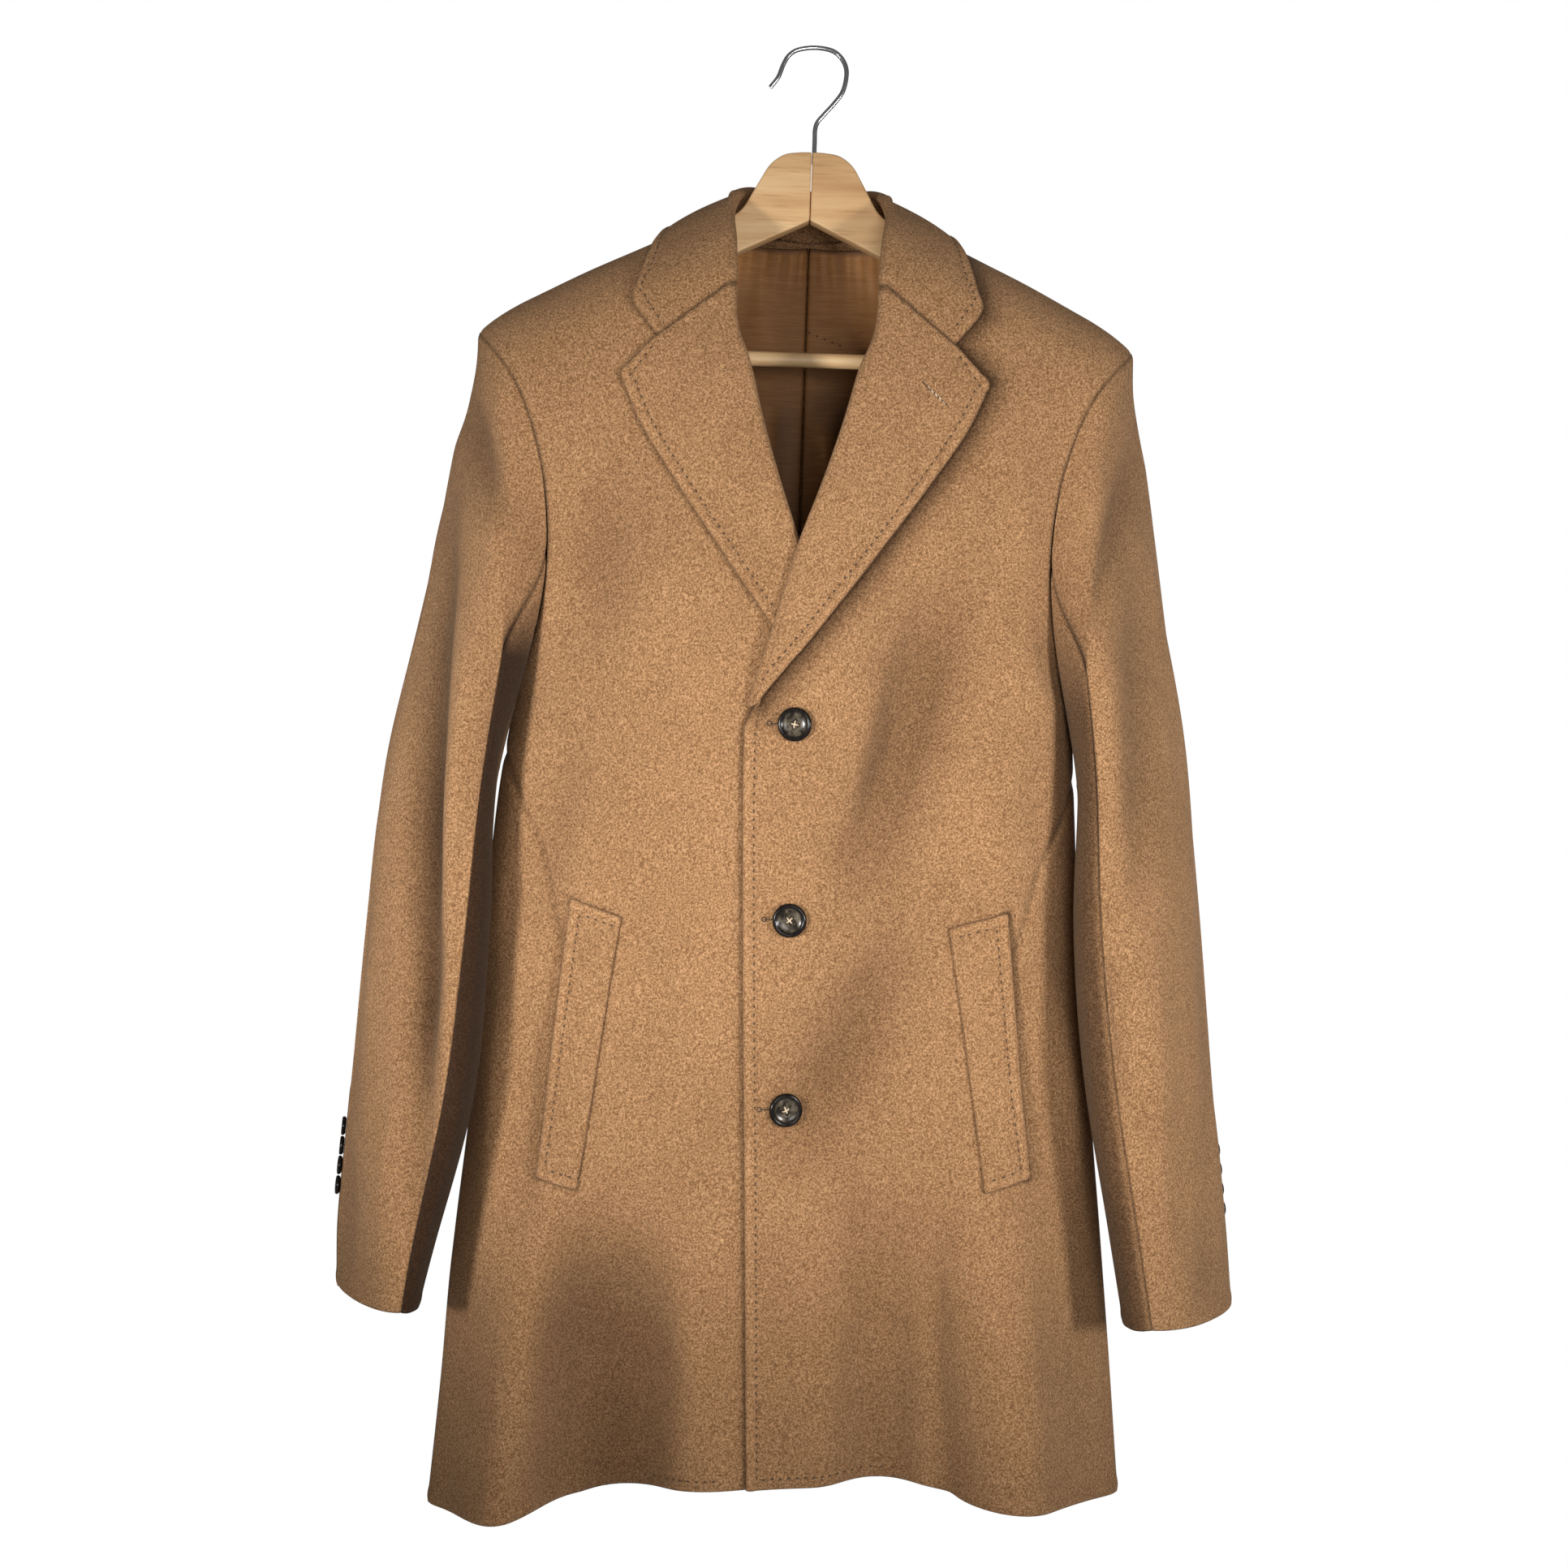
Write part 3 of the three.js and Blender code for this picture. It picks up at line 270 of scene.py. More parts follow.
def stack(x, y, z):
    return np.stack(np.broadcast_arrays(x, y, z), axis=-1).astype(float)


def shoulder_z(x):
    return shoulder.at(np.abs(x), "z")


def fold_push(face, x, z):
    total = np.zeros(np.broadcast(x, z).shape)
    for top, bottom, x_top, x_bottom, width, push, opens in FOLDS[face]:
        along = np.clip((top - z) / (top - bottom), 0, 1)
        across = np.clip((x - mix(x_top, x_bottom, along)) / width, -1, 1)
        bell = np.cos(across * math.pi / 2) ** 2
        swell = along * along * (3 - 2 * along) if opens else np.sin(along * math.pi)
        total = total + push * bell * swell
    return total


def body_depth(face, x, z):
    across = np.clip(np.abs(x) / body.at(z, "half"), 0, 1)
    outline = (1 - across**SIDE_SQUARENESS) ** (1 / SIDE_SQUARENESS)
    below = np.clip((shoulder_z(x) - z) / SHOULDER_ROUNDING, 0, 1)
    rounding = np.sqrt(1 - (1 - below) ** 2)
    return body.at(z, face) * outline * rounding + fold_push(face, x, z) * (1 - across**8)


OVERLAP_LIFT = CLOTH + 1.6
UNDER_LAPEL_LIFT = FOLDED_CLOTH + 1


class Panel:
    """One front or back of the coat, as a surface over the plane of x and z."""

    def __init__(self, side, face):
        self.side = side
        self.face = face
        self.facing = -1 if face == "front" else 1
        self.sign = SIGN[side]

    def lift(self, x, z):
        if self.side != "left" or self.face != "front":
            return 0.0
        over_front = 1 - ease(x, 42, 85)
        over_lapel = (1 - ease(x, 26, 70)) * ease(z, -458, -434) * (1 - ease(z, -330, -290))
        return OVERLAP_LIFT * over_front + UNDER_LAPEL_LIFT * over_lapel

    def y(self, x, z):
        return self.facing * (body_depth(self.face, x, z) + self.lift(x, z))

    def normal(self, x, z):
        ridge = shoulder_z(x)
        h = np.maximum(np.minimum(0.8, (ridge - z) / 2), 0.05)
        rise_x = (self.y(x + h, z) - self.y(x - h, z)) / (2 * h)
        rise_z = (self.y(x, z + h) - self.y(x, z - h)) / (2 * h)
        return unit(stack(self.facing * -rise_x, self.facing * np.ones_like(rise_x), self.facing * -rise_z))

    def point(self, x, z, out=0.0):
        place = stack(x, self.y(x, z), z)
        if np.isscalar(out) and out == 0:
            return place
        return place + self.normal(x, z) * np.asarray(out)[..., None]


panels = {(side, face): Panel(side, face) for side in ("right", "left") for face in ("front", "back")}


# Meshes
def add_mesh(name, points, faces, material, smooth=True):
    mesh = bpy.data.meshes.new(name)
    mesh.from_pydata((np.asarray(points, float) * MM).tolist(), [], faces)
    mesh.polygons.foreach_set("use_smooth", [smooth] * len(mesh.polygons))
    mesh.materials.append(material)
    piece = link_object(name, mesh)
    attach(piece, "root")
    return piece


def grid_normals(grid):
    return unit(np.cross(np.gradient(grid, axis=1), np.gradient(grid, axis=0)))


def grid_faces(rows, columns, start=0, flip=False):
    corner = start + np.arange(rows - 1)[:, None] * columns + np.arange(columns - 1)
    quads = np.stack([corner, corner + 1, corner + columns + 1, corner + columns], axis=-1).reshape(-1, 4)
    return quads[:, ::-1] if flip else quads


# How dark the painted shade in a seam is, in the tone that each point of the cloth carries, where 0 is
# plain, and how much darker the edge of a piece is than the cloth beside it, or lighter where a painted
# highlight lies on its rim
SEAM_SHADE = -0.6
RIM_TONE = 1.5


def set_tone(mesh, tones):
    layer = mesh.attributes.new("tone", "FLOAT", "POINT")
    layer.data.foreach_set("value", np.asarray(tones, np.float32))


class Skin:
    """The finished outer face of a cloth piece, on which small parts are laid."""

    def __init__(self, outer, inner):
        normals = grid_normals(outer)
        if (normals * (outer - inner)).sum() < 0:
            normals = -normals
        self.points = outer.reshape(-1, 3)
        self.normals = normals.reshape(-1, 3)

    def lay(self, places, out):
        """Places moved onto the skin and out from it, and the normals there."""
        places = np.asarray(places, float).reshape(-1, 3)
        nearest = [int(np.argmin(((self.points - place) ** 2).sum(axis=1))) for place in places]
        normals = self.normals[nearest]
        height = ((places - self.points[nearest]) * normals).sum(axis=1)
        return places + normals * (out - height)[:, None], normals

    def seat(self, place, reach):
        """One place on the skin, with the mean normal within reach of it."""
        (point,), _ = self.lay(place, 0.0)
        near = ((self.points - point) ** 2).sum(axis=1) < reach**2
        return point, unit(self.normals[near].mean(axis=0))


skins = {}


# A closed cloth wall between two grids, with its edge rounded over
EDGE_BULGE = 0.42


def cloth_wall(name, outer, inner, material, tone=None, bulge=EDGE_BULGE):
    rows, columns = outer.shape[:2]
    layer = rows * columns
    ids = np.arange(layer).reshape(rows, columns)
    ring = np.concatenate([ids[0, :-1], ids[:-1, -1], ids[-1, :0:-1], ids[:0:-1, 0]])
    r, c = np.divmod(ring, columns)
    within = outer[np.clip(r, 1, rows - 2), np.clip(c, 1, columns - 2)]
    rim_outer = outer.reshape(-1, 3)[ring]
    rim_inner = inner.reshape(-1, 3)[ring]
    thickness = np.linalg.norm(rim_outer - rim_inner, axis=1, keepdims=True)
    middle = (rim_outer + rim_inner) / 2 + unit(rim_outer - within) * thickness * bulge
    count = len(ring)
    middle_ids = 2 * layer + np.arange(count)
    ahead = np.roll(np.arange(count), -1)
    faces = [
        grid_faces(rows, columns),
        grid_faces(rows, columns, layer, flip=True),
        np.stack([ring[ahead], ring, middle_ids, middle_ids[ahead]], axis=-1),
        np.stack([middle_ids[ahead], middle_ids, layer + ring, layer + ring[ahead]], axis=-1),
    ]
    points = np.concatenate([outer.reshape(-1, 3), inner.reshape(-1, 3), middle])
    faces = np.concatenate(faces)
    a, b, c, d = (points[faces[:, i]] for i in range(4))
    volume = (a * np.cross(b, c)).sum() + (a * np.cross(c, d)).sum()
    if volume < 0:
        faces = faces[:, ::-1]
    piece = add_mesh(name, points, faces.tolist(), material)
    tones = np.zeros(len(points))
    if tone is not None:
        tones[:layer] = tone.ravel()
        # The rounded edge carries the painted shade or painted highlight of the cloth beside it, made
        # stronger
        tones[2 * layer:] = tone.ravel()[ring] * RIM_TONE
    set_tone(piece.data, tones)
    skins[name] = Skin(outer, inner)
    return piece


def declare_cut(grid):
    """Measures the flat cut the grid was made from: its longest row and column, and its area; the numbers
    are not used.
    """
    along_rows = np.linalg.norm(np.diff(grid, axis=1), axis=-1).sum(axis=1).max()
    along_columns = np.linalg.norm(np.diff(grid, axis=0), axis=-1).sum(axis=0).max()
    a = grid[:-1, :-1]
    b = grid[:-1, 1:]
    c = grid[1:, 1:]
    d = grid[1:, :-1]
    area = np.linalg.norm(np.cross(c - a, d - b), axis=-1).sum() / 2
    width = along_rows * MM
    length = along_columns * MM
    area = min(area * MM * MM, width * length)


def register(node):
    """The piece takes the place of a node of the solids, which is hidden."""
    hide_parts(node)


EDGE_OFFSETS = [0, 0.8, 1.8, 3, 4.4, 5.6, 6.6, 7.8, 9.6, 12.5]


def spaced(length, step, fine_start=True, fine_end=True):
    """Places from 0 to 1 along a length, closer together near its ends."""
    start = np.array(EDGE_OFFSETS if fine_start else [0.0])
    end = length - np.array(EDGE_OFFSETS if fine_end else [0.0])[::-1]
    count = max(2, round((end[0] - start[-1]) / step))
    middle = np.linspace(start[-1], end[0], count + 1)[1:-1]
    return np.concatenate([start, middle, end]) / length


def gauss(distance, width):
    return np.exp(-((distance / width) ** 2))


def seam_dip(distance):
    return -0.9 * gauss(distance, 2.0)


# The rim of a stitched edge is puffed up, with a groove under the stitches
STITCH_INSET = 6.6


def stitched_rim(distance):
    return 0.8 * gauss(distance - 3.0, 2.2) - 0.6 * gauss(distance - STITCH_INSET, 1.2)


def rim_painted_light(distance):
    """Painted shade makes the stitched groove a little darker, and a painted highlight makes the rim beside
    it lighter.
    """
    return 0.22 * gauss(distance - 2.8, 2.2) - 0.1 * gauss(distance - STITCH_INSET, 1.1)


# Soft creases, seen from the front or the back: x and z of the top, x and z of
# the bottom, half width, depth (negative is a trough) and sideways bow
CREASES = {
    "front": [
        (-150, -450, -176, -640, 17, -5.0, 6),
        (-178, -600, -200, -860, 16, 7.0, -3),
        (-122, -770, -100, -1010, 44, -18.0, 4),
        (-112, -540, -84, -860, 32, 6.0, -6),
        (-50, -760, -46, -1000, 34, 5.0, 4),
        (-128, -290, -146, -440, 22, -5.0, 5),
        (-118, -250, -100, -520, 46, -5.0, 4),
        (-166, -640, -178, -860, 15, -5.0, 3),
        (-4, -780, 2, -1000, 34, -4.0, 2),
        (-92, -330, -60, -560, 34, 6.0, -4),
        (134, -330, 48, -620, 30, -15.0, -12),
        (40, -360, 10, -560, 26, 5.0, -6),
        (90, -590, 12, -790, 29, -13.0, -8),
        (150, -430, 170, -640, 17, -5.0, 5),
        (152, -250, 158, -720, 36, 12.0, 0),
        (186, -620, 208, -850, 16, 6.5, 4),
        (128, -700, 146, -990, 32, 15.0, -6),
        (62, -740, 74, -1005, 30, -9.0, 5),
        (130, -290, 154, -430, 20, -4.0, -4),
        (60, -440, 26, -560, 18, 5.0, -4),
    ],
    "back": [
        (-140, -260, -104, -440, 24, -5.0, 6),
        (-170, -420, -110, -620, 22, -5.0, -8),
        (-58, -540, -68, -970, 30, 7.0, 6),
        (-150, -600, -176, -1000, 30, -10.0, 8),
        (-34, -190, -26, -360, 20, -3.0, 3),
        (-196, -620, -212, -900, 16, 4.0, -3),
        (8, -600, 2, -1000, 26, -7.0, -4),
        (146, -270, 98, -430, 24, -5.4, -6),
        (172, -440, 108, -650, 22, -4.6, 8),
        (62, -520, 72, -980, 30, 6.6, -6),
        (156, -620, 180, -1000, 30, -9.4, -8),
        (40, -200, 30, -370, 20, -2.6, -3),
        (198, -630, 214, -900, 16, 3.8, 3),
    ],
    ("right", "sleeve_front"): [
        (-244, -240, -202, -356, 13, -8.0, 3),
        (-222, -236, -190, -330, 10, 3.6, 3),
        (-249, -280, -244, -660, 12.5, -13.0, 2),
        (-245, -470, -238, -840, 11, -11.0, 1),
        (-272, -400, -276, -760, 12, 3.0, 3),
        (-222, -420, -222, -700, 8, 4.0, -2),
        (-202, -380, -216, -600, 11, -3.0, 4),
        (-274, -470, -284, -800, 9, 3.2, 3),
        (-222, -600, -248, -740, 12, -3.6, -5),
        (-268, -730, -262, -868, 14, 3.2, 2),
        (-292, -760, -290, -868, 9, -2.6, 1),
    ],
    ("left", "sleeve_front"): [
        (244, -250, 194, -420, 13, -7.4, -4),
        (216, -240, 182, -350, 11, 3.8, -3),
        (234, -340, 238, -620, 13, -6.6, -6),
        (256, -320, 276, -620, 13, 4.6, 4),
        (240, -560, 262, -850, 13, 5.0, -3),
        (282, -480, 292, -800, 10, -3.6, 4),
        (216, -600, 236, -740, 10, -3.0, -4),
        (298, -640, 308, -860, 9, 2.6, -2),
        (286, -780, 290, -866, 11, -2.6, 2),
    ],
    ("right", "sleeve_back"): [
        (-236, -300, -222, -450, 13, -5.0, 5),
        (-262, -420, -276, -640, 12, -4.4, -4),
        (-244, -520, -262, -760, 13, 4.0, 4),
        (-226, -640, -262, -740, 10, -3.8, -5),
        (-290, -640, -290, -850, 10, 3.0, 3),
    ],
    ("left", "sleeve_back"): [
        (232, -300, 220, -440, 13, -4.8, -5),
        (258, -430, 274, -650, 12, -4.0, 4),
        (240, -540, 262, -770, 13, 4.0, -4),
        (226, -650, 258, -744, 10, -3.4, 5),
        (296, -640, 300, -840, 10, 3.0, -3),
    ],
}


def crease_depth(key, x, z):
    total = np.zeros(np.broadcast(x, z).shape)
    for x_top, z_top, x_bottom, z_bottom, width, depth, bow in CREASES[key]:
        along = np.clip((z_top - z) / (z_top - z_bottom), 0, 1)
        middle = mix(x_top, x_bottom, along) + bow * np.sin(math.pi * along)
        # A crease that reaches the hem stays open there
        at_hem = z_bottom < -960
        swell = ease(along, 0, 0.55) if at_hem else np.sin(math.pi * along) ** 1.2
        total = total + depth * swell * gauss(x - middle, width)
    return total


def hand_ripple(x, z, phase):
    """The slight unevenness of hanging cloth."""
    return (
        0.6 * np.sin(x / 31 + z / 83 + phase)
        + 0.4 * np.sin(x / 17 - z / 57 + 2.1 * phase)
        + 0.25 * np.sin(x / 11 + z / 23 + 3.3 * phase)
    )


RIPPLE_PHASE = {"front": 0.4, "back": 1.7, "sleeve": 2.6}
FOLD_SHADE = {"front": 0.034, "back": 0.02, "sleeve": 0.055}


def fold_tone(face, depth):
    """Troughs lie in shade, the deeper the darker."""
    return FOLD_SHADE[face] * np.minimum(depth, 0)


def side_limit(z):
    """Half width of a body panel at a height, at its armhole or side seam."""
    return np.where(z > ARMPIT_Z, arm_edge.at(z, "x"), body.at(z, "half"))


def relief(face, x, z):
    """Creases and ripples of the fronts or the backs, which what lies on them shares."""
    fine = crease_depth(face, x, z) + hand_ripple(x, z, RIPPLE_PHASE[face])
    return fine * open_cloth(x, z)


def open_cloth(x, z):
    """1 where the cloth hangs free, 0 at the side seams and the shoulders."""
    return ease(side_limit(z) - np.abs(x), 0, 30) * ease(-z, 190, 250)


# Body panels
SIDE_BUNCHING = Table("step part", list(enumerate(
    [0, 0.16, 0.31, 0.46, 0.6, 0.73, 0.83, 0.905, 0.955, 0.987, 1]
)))
BUNCH_STEPS = 10
LOWER_SPAN = 12
DART = {
    "right": [(-201, -496), (-196, -506), (-168, -566), (-151.5, -627)],
    "left": [(201, -496), (196, -506), (168, -566), (151.5, -627)],
}


def top_z(face, x):
    line = shoulder_z(x)
    if face == "front":
        return line
    t = np.clip(np.abs(x) / NECK_SIDE_X, 0, 1)
    return np.where(np.abs(x) < NECK_SIDE_X, mix(NECK_BACK_Z, NECK_SIDE_Z, t * t), line)


def inner_edge_x(panel, z):
    if panel.face == "back":
        return np.full(np.shape(z), panel.sign * SEAM_GAP / 2)
    return panel.sign * front_edge.at(z, "x")


def panel_places(panel, rows, columns):
    """x and z of a grid: rows from 0 at the shoulder to 22 at the hem, columns from 0 to 1."""
    rows = np.asarray(rows, float)[:, None]
    upper = rows <= ARM_STEPS
    step = np.clip(rows, 0, ARM_STEPS)
    arm_x = armhole.at(step, "x")
    arm_z = armhole.at(step, "z")
    share = (shoulder_z(arm_x) - arm_z) / (shoulder_z(arm_x) - ARMPIT_Z)
    drop = np.clip((rows - ARM_STEPS) / LOWER_SPAN, 0, 1)

    def height(x):
        high = mix(top_z(panel.face, x), ARMPIT_Z, share)
        low = mix(ARMPIT_Z, hem.at(x, "z"), drop)
        return np.where(upper, high, low)

    start = inner_edge_x(panel, np.where(upper, -200.0, ARMPIT_Z))
    for _ in range(30):
        start = mix(start, inner_edge_x(panel, height(start)), 0.6)
    side_x = panel.sign * np.full(rows.shape, 200.0)
    for _ in range(8):
        side_x = panel.sign * body.at(height(side_x), "half")
    end = np.where(upper, panel.sign * arm_x, side_x)
    bunching = np.where(upper, ease(share, 0.75, 1), 1)
    even = np.asarray(columns, float)[None, :]
    part = mix(even, SIDE_BUNCHING.at(even * BUNCH_STEPS, "part"), bunching)
    x = mix(start, end, part)
    return x, height(x), start, end


def line_distance(x, z, line):
    best = np.full(np.broadcast(x, z).shape, 1e9)
    for (x0, z0), (x1, z1) in zip(line[:-1], line[1:]):
        dx = x1 - x0
        dz = z1 - z0
        t = np.clip(((x - x0) * dx + (z - z0) * dz) / (dx * dx + dz * dz), 0, 1)
        best = np.minimum(best, np.hypot(x - x0 - t * dx, z - z0 - t * dz))
    return best


PANEL_STEP = {"front": (2.7, 2.9), "back": (3.8, 4.2)}
PANEL_WIDTH = 215
ABOVE_ARMPIT = 244
BELOW_ARMPIT = 545
# How far the soft sides of the skirt swell past the plain form
SIDE_SWELL = {
    "right": Table("z out", [(-455, 0), (-530, 6), (-700, 7.5), (-850, 6.5), (-930, 2.5), (-1020, 0)]),
    "left": Table("z out", [(-600, 0), (-640, 0.5), (-740, 8.5), (-1010, 9)]),
}
SWELL_WIDTH = 46


def side_swell(panel, x, z, end):
    """How far a place of a panel moves along x."""
    fade = 1 - ease(np.abs(end - x), 8, SWELL_WIDTH)
    return panel.sign * SIDE_SWELL[panel.side].at(z, "out") * fade


def panel_rows(face):
    near_ridge = np.linspace(0, 1, 9) ** 2
    step = PANEL_STEP[face][1]
    upper = 1 + 9 * np.linspace(0, 1, round(ABOVE_ARMPIT / step))[1:]
    lower = ARM_STEPS + LOWER_SPAN * spaced(BELOW_ARMPIT, step, fine_start=False)[1:]
    return np.concatenate([near_ridge, upper, lower])


def panel_disp(panel, x, z, start, end):
    """How far the fine form of a panel stands proud of its plain surface."""
    to_side = np.abs(end - x)
    to_start = np.abs(x - start)
    disp = relief(panel.face, x, z) + seam_dip(to_side)
    over_hem = z - hem.at(x, "z")
    disp = disp + 0.6 * gauss(over_hem - 4, 4) - 0.3 * gauss(over_hem, 2)
    if panel.face == "front":
        seen_x = x + side_swell(panel, x, z, end)
        disp = disp - 1.3 * gauss(line_distance(seen_x, z, DART[panel.side]), 2.6)
        disp = disp + seam_dip(shoulder_z(x) - z)
        disp = disp - POCKET_DIP * pocket_mouth(panel.side, x, z)
        if panel.side == "left":
            disp = disp + stitched_rim(to_start) * (1 - ease(z, -470, -455))
    else:
        disp = disp + seam_dip(to_start)
    return disp


POCKET_DIP = 2.6


def mouth_swell(along):
    """How far a pocket's mouth opens along it, most of all near its lower end."""
    return np.sin(math.pi * along**1.5) ** 0.6


def pocket_mouth(side, x, z):
    """Near the open side of a welt, most of all near its lower end."""
    a, _, _, d = WELTS[side]
    along = np.clip((a[1] - z) / (a[1] - d[1]), 0, 1)
    swell = mouth_swell(along)
    return gauss(line_distance(x, z, [a, d]), 4.5) * swell


def outlines(side):
    """Edges of what lies on a front, as lines of x and z."""
    sign = SIGN[side]
    end_z = UPPER_LAPEL_END_Z if side == "left" else UNDER_LAPEL_END_Z
    zs = np.linspace(LAPEL_TIP[1], end_z, 14)[1:]
    lapel = [(float(lapel_edge.at(z, "x")), float(z)) for z in zs]
    fall = [edge for _, edge, _ in COLLAR_FRONT]
    collar = [(station[2][0], station[2][2]) for station in COLLAR_STATIONS[:1]]
    top = [*collar, *fall[::-1], COLLAR_NOTCH, LAPEL_TIP, *lapel]
    a, b, c, d = WELTS[side]
    return {"lapel": [(x * sign, z) for x, z in top], "welt": [a, b, c, d], "welt_mouth": [a, d]}


# The shade beside what lies on a front: how dark, and how wide. It is wide on
# the side away from the light, under the left lapel and the left welt.
CONTACT_SHADES = {
    ("right", "lapel"): (-0.4, 2.4),
    ("right", "welt"): (-0.45, 1.8),
    ("right", "welt_mouth"): (-0.2, 4.0),
    ("right", "front_edge"): (-0.4, 4.0),
    ("left", "lapel"): (-0.85, 12.0),
    ("left", "welt"): (-0.45, 1.8),
    ("left", "welt_mouth"): (-0.9, 3.2),
}


def panel_tone(panel, x, z, start, end):
    """Painted shade along seams, in the troughs of creases and beside what lies on the panel, and a painted
    highlight on the stitched rim of the left front.
    """
    tone = fold_tone(panel.face, crease_depth(panel.face, x, z)) * open_cloth(x, z)
    tone = tone + SEAM_SHADE * gauss(np.abs(end - x), 1.4)
    if panel.face == "back":
        return tone + SEAM_SHADE * gauss(np.abs(x - start), 1.3)
    tone = tone + SEAM_SHADE * gauss(shoulder_z(x) - z, 1.4)
    seen_x = x + side_swell(panel, x, z, end)
    tone = tone + 0.6 * SEAM_SHADE * gauss(line_distance(seen_x, z, DART[panel.side]), 1.6)
    for name, line in outlines(panel.side).items():
        depth, width = CONTACT_SHADES[panel.side, name]
        tone = tone + depth * gauss(line_distance(x, z, line), width)
    if panel.side == "left":
        tone = tone + rim_painted_light(np.abs(x - start)) * (1 - ease(z, -470, -455))
    else:
        over = front_edge.at(z, "x") - x
        depth, width = CONTACT_SHADES["right", "front_edge"]
        tone = tone + depth * gauss(over, width) * (z < -450)
    return tone


def make_panel(panel):
    columns = spaced(PANEL_WIDTH, PANEL_STEP[panel.face][0])
    x, z, start, end = panel_places(panel, panel_rows(panel.face), columns)
    plain = panel.point(x, z)
    normals = grid_normals(plain)
    if (normals[..., 1] * panel.facing).mean() < 0:
        normals = -normals
    disp = panel_disp(panel, x, z, start, end)
    outer = plain + normals * disp[..., None]
    outer[..., 0] += side_swell(panel, x, z, end)
    inner = outer - normals * CLOTH
    name = f"{panel.face}_{panel.side}"
    tone = panel_tone(panel, x, z, start, end)
    piece = cloth_wall(f"{name}_cloth", outer, inner, materials["wool"], tone)
    register(name)
    declare_cut(outer)


# Sleeves
def armhole_place(side, place):
    wrapped = np.mod(place, LOOP)
    in_front = wrapped <= ARM_STEPS
    step = np.where(in_front, wrapped, LOOP - wrapped)
    sign = SIGN[side]
    x = sign * armhole.at(step, "x")
    z = armhole.at(step, "z")
    front = panels[side, "front"].y(x, z)
    back = panels[side, "back"].y(x, z)
    return x, np.where(in_front, front, back), z


def sleeve_outline(side, angle, z):
    table = sleeves[side]
    outer = table.at(z, "outer")
    inner = table.at(z, "inner")
    half_depth = table.at(z, "depth")
    half_width = (outer - inner) / 2
    turned = half_depth * math.sin(SLEEVE_TURN)
    half_short = np.sqrt(np.maximum(half_width**2 - turned**2, 1)) / math.cos(SLEEVE_TURN)
    across = half_short * np.cos(angle)
    forward = half_depth * np.sin(angle)
    x = (outer + inner) / 2 + across * math.cos(SLEEVE_TURN) - forward * math.sin(SLEEVE_TURN)
    y = table.at(z, "middle") + across * math.sin(SLEEVE_TURN) - forward * math.cos(SLEEVE_TURN)
    return x, y


def clear_of_body(x, y, z, drop):
    depth = np.where(y < 0, body.at(z, "front"), body.at(z, "back"))
    reach = np.clip(np.abs(y) / depth, 0, 1)
    body_x = body.at(z, "half") * (1 - reach**SIDE_SQUARENESS) ** (1 / SIDE_SQUARENESS)
    clearance = mix(ARMPIT_CLEARANCE, BODY_CLEARANCE, ease(drop, 25, 110)) * ease(drop, 0, 12)
    return np.where(z > ARMPIT_Z + 40, x, np.maximum(x, body_x + clearance))


def column_angle(side, place, z, start_z):
    settle = ease(start_z - z, 0, SEAM_SETTLE)
    step = 2 * math.pi / LOOP
    back = mix(BACK_SEAM_LOOP * step - SLEEVE_TURN, BACK_SEAM_ANGLE[side], settle)
    front = mix(FRONT_SEAM_LOOP * step - SLEEVE_TURN, FRONT_SEAM_ANGLE, settle)
    across_top = (place - BACK_SEAM_LOOP) / (FRONT_SEAM_LOOP - BACK_SEAM_LOOP)
    across_under = (place - FRONT_SEAM_LOOP) / (BACK_SEAM_LOOP + LOOP - FRONT_SEAM_LOOP)
    return np.where(
        place <= FRONT_SEAM_LOOP,
        mix(back, front, across_top),
        mix(front, back + 2 * math.pi, across_under),
    )


def sleeve_points(side, place, share):
    start_x, start_y, start_z = armhole_place(side, place)
    sign = SIGN[side]
    z = mix(start_z, CUFF_Z[side], share)
    out_x, out_y = sleeve_outline(side, column_angle(side, place, z, start_z), z)
    away = ease(start_z - z, 0, SLEEVE_BLEND)
    x = mix(np.abs(start_x), out_x, away)
    y = mix(start_y, out_y, away)
    return stack(sign * clear_of_body(x, y, z, start_z - z), y, z)


# How far the soft sleeves swell past the plain form, on the outer and the inner side
SLEEVE_SWELL = {
    "right": Table("z out in", [
        (-380, 0, 0), (-470, 5, -3), (-550, 7, -2), (-610, 6, 1.5), (-750, 3.5, 6), (-880, 1, 3),
    ]),
    "left": Table("z out in", [
        (-400, 0, 0), (-470, 5, 0), (-530, 6, 2), (-670, 4.5, 5), (-800, 1, 5), (-880, 0.5, 6),
    ]),
}


def sleeve_swell(side, z, outward):
    """outward is 1 where the sleeve faces away from the coat and -1 where it faces it."""
    table = SLEEVE_SWELL[side]
    return table.at(z, "out") * ease(outward, 0.1, 0.9) + table.at(z, "in") * ease(-outward, 0.1, 0.9)


SLEEVE_AROUND = 190.0
SLEEVE_LENGTH = 640
SEAM_STEP = {"top": 1.2, "under": -1.2}
# Painted shade on the inner side next to the coat and on the strip of the under piece beside the front seam,
# and a painted highlight on the edge of the top piece at the back seam
INNER_SIDE_TONE = -0.75
FRONT_STRIP_SHADE = {"right": -0.7, "left": 0.0}
EDGE_LIGHT = 0.2
SEAM_STEP_ZONE = (-470, -380)
VENT_TOP_Z = -737
VENT_STEP = 1.6


def sleeve_normals(side, plain):
    """Normals of a plain sleeve, turned outward."""
    table = sleeves[side]
    sign = SIGN[side]
    normals = grid_normals(plain)
    z = plain[..., 2]
    middle_x = sign * (table.at(z, "outer") + table.at(z, "inner")) / 2
    outward = (plain[..., 0] - middle_x) * normals[..., 0]
    outward = outward + (plain[..., 1] - table.at(z, "middle")) * normals[..., 1]
    return normals if outward.mean() > 0 else -normals


